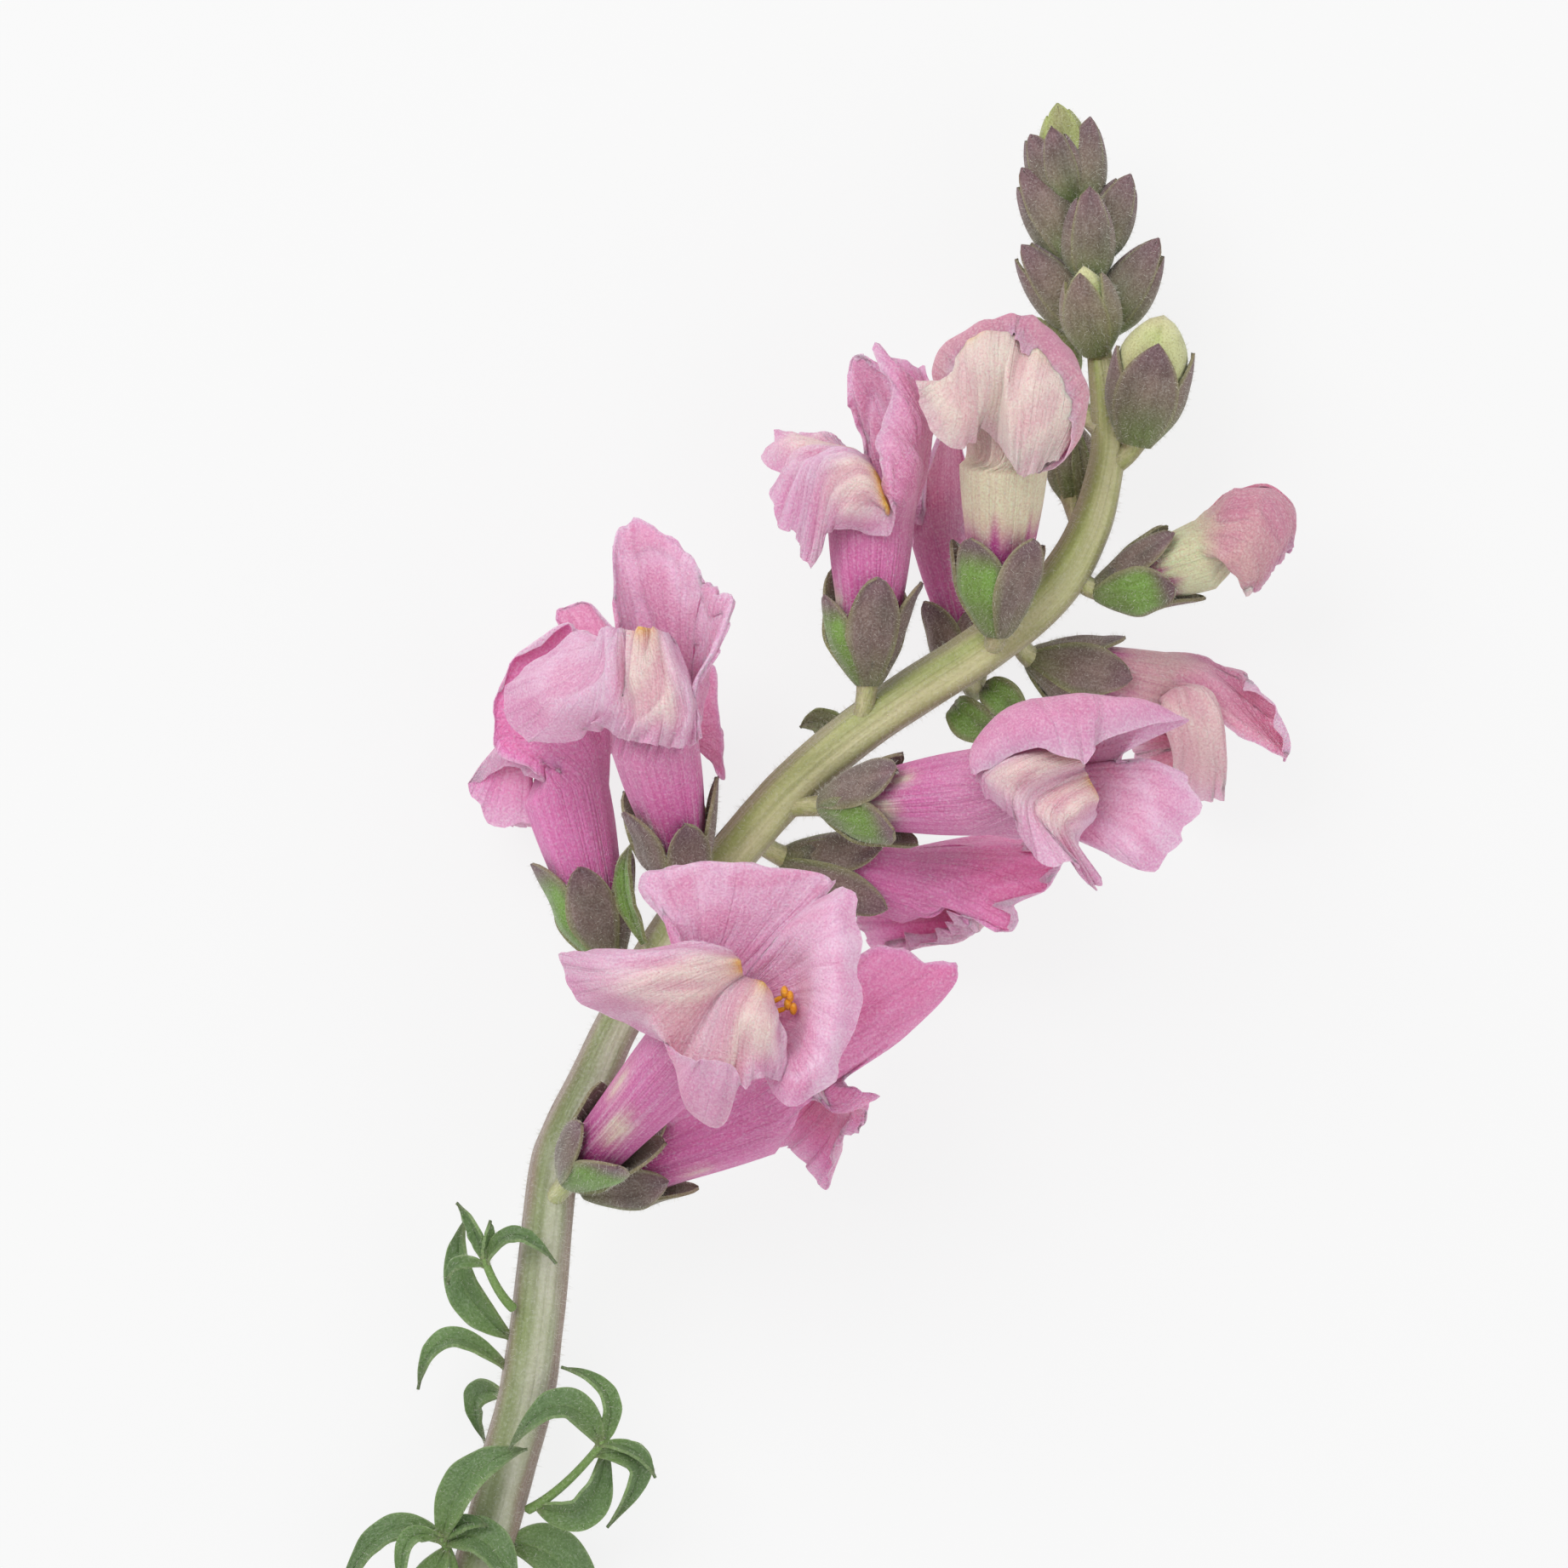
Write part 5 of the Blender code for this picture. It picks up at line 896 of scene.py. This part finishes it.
stem = dict(
    path=(
        (129.2, 40.0, 17.4, 1.4), (130.1, 48.0, 18.6, 1.8), (130.2, 54.0, 19.6, 2.1),
        (128.1, 62.0, 20.4, 2.5), (124.0, 69.0, 21.0, 2.8), (116.5, 75.5, 21.4, 2.9),
        (108.0, 81.0, 21.6, 2.9), (100.0, 86.5, 21.6, 2.85), (93.0, 92.5, 21.4, 2.8),
        (88.0, 98.0, 21.1, 2.75), (84.4, 102.4, 20.8, 2.75), (80.0, 108.0, 20.3, 2.7),
        (76.0, 114.0, 19.6, 2.6), (72.3, 120.7, 18.8, 2.55), (69.5, 126.8, 18.0, 2.7),
        (66.2, 133.5, 16.9, 2.8), (64.8, 138.0, 16.1, 2.9), (63.8, 146.8, 14.4, 3.0),
        (62.8, 155.7, 12.5, 3.15), (61.5, 164.5, 10.5, 3.3), (59.1, 173.4, 8.5, 3.3),
        (57.2, 180.7, 6.9, 3.15), (54.2, 190.0, 5.0, 3.1), (50.6, 201.0, 3.15, 3.1)),
    rows=260, sides=40, ridges=5, ridge=0.05,
    stalk=1.2, below=1.4, into=0.8)  # stalks end below a bloom's foot and a little way into a bud
# pale and oldPale give pale streaks and the painted highlight along the top of the stem
stemPaint = dict(young=paint(180, 188, 120), pale=paint(222, 218, 172), old=paint(150, 160, 116),
                 # the flank colour is partly a purple flush, partly painted shade on the sides
                 oldPale=paint(204, 202, 184), flank=paint(150, 118, 114), cut=paint(214, 220, 170))

stemKnots = [place(knot[:3]) for knot in stem["path"]]
stemSizes = [knot[3] for knot in stem["path"]]


def stemAt(v):  # middle, radius and heading of the stem at a share of its length
    point = through(stemKnots, v)
    ahead = (through(stemKnots, min(1, v + 0.004)) - through(stemKnots, max(0, v - 0.004))).normalized()
    return point, through(stemSizes, v), ahead


def stemKnot(at):  # middle and radius at a number of knots along the stem
    i = min(int(at), len(stemKnots) - 2)
    return stemKnots[i].lerp(stemKnots[i + 1], at - i), blended(stemSizes[i], stemSizes[i + 1], at - i)


def stemTint(v, turn):
    p, age = stemPaint, stepped(0.35, 0.62, v)
    pale = layered(p, p["pale"], oldPale=age)
    colour = layered(p, p["young"], old=age)
    # painted highlight: a pale stripe along the top, with random pale streaks
    colour = blended(colour, pale, 0.75 * hill(turn, 108, 26) + 0.35 * ripple(v * 30, turn / 30, 4))
    # the sides seen from above darken: partly a purple flush, partly painted shade
    flank = stepped(0.45, 0.95, abs(cos(radians(turn))) + 0.25 * ripple(v * 22, turn / 60, 6))
    return (*layered(p, colour, flank=(0.45 + 0.35 * age) * flank), 0.8)


def rod(name, knots, radii, sides, steps, tint):
    def form(u, v):
        point = through(knots, v)
        ahead = (through(knots, min(1, v + 0.03)) - through(knots, max(0, v - 0.03))).normalized()
        side = ahead.cross(Vector((0.02, 0.03, 1))).normalized()  # no rod lies along this way
        face = side.cross(ahead)
        thick = through(radii, v) if 0 < v < 1 else 0.0
        colour = tint(v, 360 * u)
        return point + (side * cos(2 * pi * u) + face * sin(2 * pi * u)) * thick, colour, colour

    piece = shapedGrid(name, sides, steps, form, closed=True)
    outwards(piece)
    return piece


def growStem():
    rows = stem["rows"]

    def form(u, v):
        step = round(v * rows)
        share = min(1.0, max(0.0, (step - 1) / (rows - 2)))
        point, thick, ahead = stemAt(share)
        side = ahead.cross(Vector((0, 0, 1))).normalized()
        face = side.cross(ahead)
        turn = 2 * pi * u
        ridge = 1 + stem["ridge"] * cos(stem["ridges"] * turn + 3 * share)
        ridge += 0.03 * ripple(share * 40, u * 3, 9)
        thick *= 0 if step in (0, rows) else ridge
        tint = (*stemPaint["cut"], 0.2) if step == rows else stemTint(share, 360 * u)
        return point + (side * cos(turn) + face * sin(turn)) * thick, tint, tint

    body = shapedGrid("body", stem["sides"], rows, form, closed=True)
    outwards(body)
    parts = [body]
    for number, bloom in blooms.items():
        tube = bloomTube(bloom)
        end = tube.foot - tube.forward * stem["below"]
        parts.append(stalk(f"stalk_{number}", stemKnot(bloom["joint"])[0], end, tube.forward))
    for name, spec in buds["side"].items():
        low, high = place(spec["foot"]), place(spec["tip"])
        ahead = (high - low).normalized()
        parts.append(stalk(f"stalk_{name}", stemKnot(spec["joint"])[0], low + ahead * stem["into"], ahead))
    for part in parts:
        dressed(part, stemSkin)
    piece = joined(parts, "stemAndStalks")
    return handedIn(smoothed(piece), "stem", "stem")


def stalk(name, start, end, ahead):
    reach = (end - start).length
    knots = curved([start, end - ahead * reach * 0.5, end])
    thick = [stem["stalk"] * (1 + 0.6 * abs(k / 3 - 1) ** 3) for k in range(7)]
    return rod(name, knots, thick, 16, 22, lambda v, turn: stemTint(0.2 + 0.2 * v, turn))


growStem()
print("stem grown")


# Stamens of the lowest bloom: forward, towards the upper lip and to the side of its mouth

stamens = dict(anthers=((8.6, 4.0, -4.6), (7.9, 3.6, -5.8)), thread=0.3, anther=0.75, apart=0.42,
               gold=paint(238, 168, 44))


def growStamens():
    tube = bloomTube(blooms["01"])
    gold = (*stamens["gold"], 0.6)
    parts = []
    for i, spot in enumerate(stamens["anthers"]):
        high = tube.ahead(spot)
        knots = curved([tube.foot + tube.forward * 0.9, tube.foot.lerp(tube.mouth, 0.95), high])
        parts.append(rod(f"thread_{i}", knots, [stamens["thread"]] * 7, 8, 24, lambda v, turn: gold))
        for part in (-1, 1):
            bpy.ops.mesh.primitive_uv_sphere_add(segments=16, ring_count=10, radius=stamens["anther"] * mm)
            lobe = bpy.context.object
            for attribute in ("face", "back"):
                tints = lobe.data.attributes.new(attribute, "FLOAT_COLOR", "POINT")
                for item in tints.data:
                    item.color = gold
            for vert in lobe.data.vertices:
                vert.co.x *= 0.62
                vert.co.z *= 1.3
                vert.co += (high + tube.side * part * stamens["apart"]) * mm
            parts.append(lobe)
    for part in parts:
        dressed(part, stamenSkin)
    piece = joined(parts, "stamens")
    return handedIn(smoothed(piece), "stamen", "stamens_01")


growStamens()
print("stamens set")


# Leaves: foot, a point that pulls the midrib, tip, width, which way the upper face looks

leaves = dict(thickness=0.4, fold=0.42, wave=0.35, stalk=0.6, floor=0.22)
# rim colours a painted highlight along the leaves' margins
leafPaint = dict(green=paint(92, 132, 62), deep=paint(54, 92, 54), rib=paint(150, 178, 104),
                 back=paint(122, 148, 94), tip=paint(104, 88, 84), foot=paint(150, 112, 104),
                 rim=paint(172, 190, 134), young=paint(140, 164, 74))
shoots = {
    "leaf_01": dict(joint=18.25, leaves=(
        ("stem", (51.5, 152.0, 13.0), (54.4, 143.6, 14.0), 4.4, (-0.5, 0, 1)),)),
    "shoot_01": dict(joint=17.8, stalk=((58.0, 152.0, 18.2), (56.6, 147.6, 17.6)), leaves=(
        (0.85, (56.0, 144.5, 18.0), (53.5, 141.5, 18.5), 1.8, (-0.6, 0, 1)),
        (0.9, (60.0, 142.0, 21.0), (65.3, 148.6, 20.6), 2.2, (0, -0.7, 1)),
        (0.95, (57.4, 145.5, 18.7), (57.5, 143.6, 19.2), 1.6, (0.6, 0, 1)),
        (0.85, (52.4, 147.4, 17.0), (52.4, 151.2, 16.6), 1.6, (-1, 0, 1)),)),
    "leaf_02": dict(joint=18.65, leaves=(
        ("stem", (50.5, 153.4, 13.5), (48.8, 163.7, 12.0), 3.0, (-0.3, -0.8, 1)),)),
    "leaf_03": dict(joint=19.1, leaves=(
        ("stem", (53.6, 162.6, 5.0), (56.6, 170.4, 2.4), 3.4, (-0.8, 0, 1)),)),
    "shoot_04": dict(joint=20.5, stalk=((66.0, 176.0, 12.0), (71.0, 169.4, 16.0)), leaves=(
        (0.15, (70.5, 181.0, 11.0), (71.0, 169.4, 13.0), 5.0, (0.4, 0.6, 1)),
        (0.95, (66.5, 160.5, 19.0), (59.6, 170.6, 17.5), 4.2, (-0.2, -0.6, 1)),
        (0.9, (74.6, 163.0, 17.0), (65.8, 161.0, 14.0), 2.6, (0.7, -0.5, 1)),
        (0.85, (79.4, 169.6, 15.5), (71.2, 180.0, 13.0), 3.4, (0.7, 0.1, 1)),
        (0.95, (75.4, 169.8, 17.4), (76.9, 174.0, 15.6), 1.8, (0.5, -0.5, 1)),)),
    "shoot_05": dict(joint=21.6, stalk=((53.0, 183.5, 10.5), (51.4, 181.0, 12.6)), leaves=(
        (0.9, (53.4, 172.0, 16.0), (61.8, 170.6, 16.0), 4.8, (-0.5, -0.3, 1)),
        (0.85, (44.0, 176.0, 13.0), (39.0, 190.0, 8.0), 3.6, (-0.3, -0.6, 1)),
        (0.95, (45.6, 178.6, 16.0), (47.4, 189.0, 14.0), 2.4, (-0.7, 0, 1)),
        (0.9, (54.0, 178.4, 14.0), (57.2, 179.8, 14.0), 2.2, (0, -0.5, 1)),
        (0.8, (58.0, 178.0, 14.5), (60.6, 190.0, 12.0), 5.0, (0.4, -0.4, 1)),
        (0.7, (48.5, 189.0, 12.5), (44.0, 199.0, 6.0), 4.6, (-0.4, 0.2, 1)),)),
    "leaf_06": dict(joint=21.1, leaves=(
        ("stem", (66.5, 180.5, 8.0), (71.0, 196.0, 1.2), 6.4, (0.4, -0.3, 1)),)),
    "leaf_07": dict(joint=22.3, leaves=(
        ("stem", (42.0, 190.0, 5.0), (36.5, 203.0, 1.0), 5.6, (-0.3, -0.3, 1)),)),
}


def seat(joint, pull, room):  # where a stalk or leaf meets the stem, on the side that it grows to
    middle, radius = stemKnot(joint)
    knot = stemKnot(joint + 0.1)[0]
    along = (knot - middle).normalized()
    aim = place(pull) - middle
    aim = (aim - along * aim.dot(along)).normalized()
    return middle + aim * (radius + 0.3 + room)


def leafTint(across, along, seed):
    p, side = leafPaint, abs(across)
    age = 0.5 + 0.4 * sin(seed * 2.1) + 0.7 * ripple(along * 3, across, seed)
    # the margins lighten as a painted highlight
    colour = layered(p, p["green"], deep=min(1.0, max(0.0, age)),
                     young=0.55 * stepped(0.5, 0.0, along) * (0.6 + 0.4 * side),
                     rim=0.55 * stepped(0.86, 1.0, side), rib=0.7 * stepped(0.14, 0.0, side) * (1 - along),
                     tip=0.75 * stepped(0.8, 1.0, along + 0.06 * side), foot=0.6 * stepped(0.1, 0.0, along))
    return (*colour, 0.8), (*layered(p, colour, back=0.6), 0.8)


def leaf(name, low, spec, seed, tint=leafTint, skins=(leafFace, leafBack)):
    pull, tip, width, facing = spec
    middle, high = place(pull), place(tip)
    toward = direction(facing)

    def form(u, v):
        across = (u - 0.5) * 2
        spine = bezier([low, middle, high], v)
        ahead = ((middle - low).lerp(high - middle, v)).normalized()
        side = ahead.cross(toward).normalized()
        rise = side.cross(ahead).normalized()
        half = 0.5 * width * max(0.02, sin(pi * (0.03 + 0.97 * v) ** 0.85))
        half = max(half, 0.45 * stepped(0.25, 0.0, v))
        lift = leaves["fold"] * half * abs(across) ** 1.3 - 0.12 * hill(across, 0, 0.12)
        lift += leaves["wave"] * across ** 2 * ripple(v * 7, across, seed) * min(1.0, half)
        face, back = tint(across, v, seed)
        return settled(spine + side * across * half + rise * lift, leaves["floor"]), back, face

    blade = shapedGrid(name, 14, 40, form)
    dressed(blade, *skins)
    return thickened(blade, leaves["thickness"])


def shoot(name, spec):
    parts = []
    if "stalk" in spec:
        middle, high = spec["stalk"]
        pull = [seat(spec["joint"], middle, 0.3), place(middle), place(high)]
        stalkTint = (*blended(leafPaint["rib"], leafPaint["green"], 0.4), 0.8)
        radii = [leaves["stalk"] * (1 - 0.04 * k) for k in range(7)]
        branch = rod("branch", curved(pull), radii, 14, 24, lambda v, turn: stalkTint)
        parts.append(dressed(branch, leafFace, leafBack))
    for i, blade in enumerate(spec["leaves"]):
        low = seat(spec["joint"], blade[1], -0.7) if blade[0] == "stem" else bezier(pull, blade[0])
        parts.append(leaf(f"blade_{i}", low, blade[1:], i + 3 * len(name)))
    piece = joined(parts, name.replace("_", ""))
    return handedIn(smoothed(piece), "leaf", name)


for name, spec in shoots.items():
    shoot(name, spec)
print("leaves grown")


# Small bracts and young buds among the blooms: foot, pull, tip, width, way it faces, how green

bracts = dict(
    blades=(((75.7, 110.8, 23.0), (72.0, 103.5, 27.0), (74.3, 99.0, 28.5), 2.8, (-0.6, 0, 1), 0.9),
            ((99.6, 86.9, 17.0), (96.5, 83.6, 17.6), (94.0, 85.4, 16.4), 3.4, (0, -0.3, 1), 0.1),
            ((128.4, 62.4, 17.0), (127.6, 55.0, 17.2), (126.4, 49.2, 16.6), 2.6, (-0.4, 0, 1), 0.2),
            ((120.4, 84.4, 14.0), (116.6, 80.6, 22.0), (115.8, 80.8, 15.0), 4.4, (-0.5, -0.4, 1), 1.0),
            ((117.4, 86.6, 13.6), (112.2, 83.6, 22.0), (112.4, 82.6, 14.4), 4.8, (-0.5, -0.2, 1), 1.0)))


def growBracts():
    parts = []
    for i, (low, *spec, green) in enumerate(bracts["blades"]):
        parts.append(leaf(f"bract_{i}", place(low), spec, i + 40, skins=(sepalFace, sepalBack),
                          tint=lambda across, along, seed: sepalTints(green, across, along, seed)))
    return handedIn(smoothed(joined(parts, "bracts")), "sepal")


growBracts()
print("bracts grown")


# Hairs: fine pale ones stand on the stem, the sepals and the leaves

hairs = dict(thickness=0.05, lean=0.6, shortest=0.4,  # then hairs for each square mm, and their length
             stem=(2.2, 0.9), sepal=(2.6, 0.7), leaf=(1.6, 0.6),
             dull=paint(196, 196, 176), pale=paint(244, 242, 234))


def hairFinish():
    material, tree, shader = finish("hairSkin")
    where = added(tree, "ShaderNodeTexCoord", {})["Object"]
    spots = added(tree, "ShaderNodeTexNoise", {"Vector": where, "Scale": 900})["Fac"]
    tone = added(tree, "ShaderNodeMix", {
        "Factor": spots, "A": (*hairs["dull"], 1), "B": (*hairs["pale"], 1)}, data_type="RGBA")["Result"]
    filled(tree, shader, {"Base Color": tone, "Roughness": 0.5})
    return material


def hairNodes(density, length, seed):  # scatters thin cones over a surface, each leaning its own way
    tree = bpy.data.node_groups.new("hairs", "GeometryNodeTree")
    for way in ("INPUT", "OUTPUT"):
        tree.interface.new_socket("Geometry", in_out=way, socket_type="NodeSocketGeometry")
    skin = added(tree, "NodeGroupInput", {})[0]
    roots = added(tree, "GeometryNodeDistributePointsOnFaces", {
        "Mesh": skin, "Density": density * 1e6, "Seed": seed})
    cone = added(tree, "GeometryNodeMeshCone", {
        "Vertices": 3, "Radius Top": 0.0, "Radius Bottom": hairs["thickness"] / 2 * mm,
        "Depth": length * mm})["Mesh"]
    lean = hairs["lean"]
    leans = added(tree, "FunctionNodeRandomValue", {0: (-lean, -lean, 0), 1: (lean, lean, 0)},
                  data_type="FLOAT_VECTOR")[0]
    bend = added(tree, "FunctionNodeEulerToRotation", {0: leans})[0]
    turned = added(tree, "FunctionNodeRotateRotation", {"Rotation": roots["Rotation"], "Rotate By": bend},
                   rotation_space="LOCAL")[0]
    sizes = added(tree, "FunctionNodeRandomValue", {2: hairs["shortest"], 3: 1.0}, data_type="FLOAT")[1]
    planted = added(tree, "GeometryNodeInstanceOnPoints", {
        "Points": roots["Points"], "Instance": cone, "Rotation": turned, "Scale": sizes})[0]
    real = added(tree, "GeometryNodeRealizeInstances", {0: planted})[0]
    added(tree, "NodeGroupOutput", {0: real})
    return tree


def growHairs(slot, skins, seed):
    density, length = hairs[slot]
    copies = []
    for skin in skins:
        copy = bpy.data.objects.new(skin.name + "Hairs", skin.data.copy())
        bpy.context.scene.collection.objects.link(copy)
        copies.append(copy)
    piece = joined(copies, slot + "Hairs")
    only(piece)
    growth = piece.modifiers.new("Hairs", "NODES")
    growth.node_group = hairNodes(density, length, seed)
    bpy.ops.object.modifier_apply(modifier=growth.name)
    dressed(piece, hairSkin)
    print(slot, "hairs:", len(piece.data.vertices) // 4)
    return handedIn(piece, slot)


hairSkin = hairFinish()
grown = [piece for piece in bpy.data.objects if piece.get("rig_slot")]
for i, part in enumerate(("stem", "sepal", "leaf")):
    growHairs(part, [piece for piece in grown if piece["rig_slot"] == part], i + 1)
print("hairs grown")


# Stage

stage = dict(floor=paint(98, 98, 98), shine=0.81, size=6.0, below=0.0002, sky=0.62,
             lens=400, sensor=36, height=0.026, aim=(0, 0, 0.02),
             lamps=dict(key=((-0.5, 0.55, 0.9), 0.9, 7.2), fill=((0.7, -0.3, 0.8), 1.0, 2.6)))


def setStage():
    bpy.ops.object.select_all(action="DESELECT")
    bpy.ops.mesh.primitive_plane_add(size=stage["size"], location=(0, 0, -stage["below"]))
    floor = bpy.context.object
    floor.name = "floor"
    paper, tree, shader = finish("floorPaper")
    filled(tree, shader, {
        "Base Color": (*stage["floor"], 1), "Roughness": 0.9, "Specular IOR Level": 0.1,
        "Emission Color": (1, 1, 1, 1), "Emission Strength": stage["shine"]})
    floor.data.materials.append(paper)

    world = bpy.data.worlds.new("studio")
    bpy.context.scene.world = world
    world.use_nodes = True
    filled(world.node_tree, world.node_tree.nodes["Background"], {
        "Color": (1, 1, 1, 1), "Strength": stage["sky"]})

    for name, (spot, size, power) in stage["lamps"].items():
        bpy.ops.object.light_add(type="AREA", location=spot)
        lamp = bpy.context.object
        lamp.name = name
        lamp.data.shape = "DISK"
        lamp.data.size = size
        lamp.data.energy = power
        lamp.rotation_euler = (Vector(stage["aim"]) - Vector(spot)).to_track_quat("-Z", "Y").to_euler()

    distance = viewWidth * mm * stage["lens"] / stage["sensor"]
    centre = place((*viewCentre, 0)) * mm
    bpy.ops.object.camera_add(location=(centre.x, centre.y, stage["height"] + distance), rotation=(0, 0, 0))
    camera = bpy.context.object
    camera.data.lens = stage["lens"]
    camera.data.sensor_width = stage["sensor"]
    camera.data.clip_end = 20
    bpy.context.scene.camera = camera
    bpy.context.scene.view_settings.view_transform = "Standard"


setStage()
print("stage set")
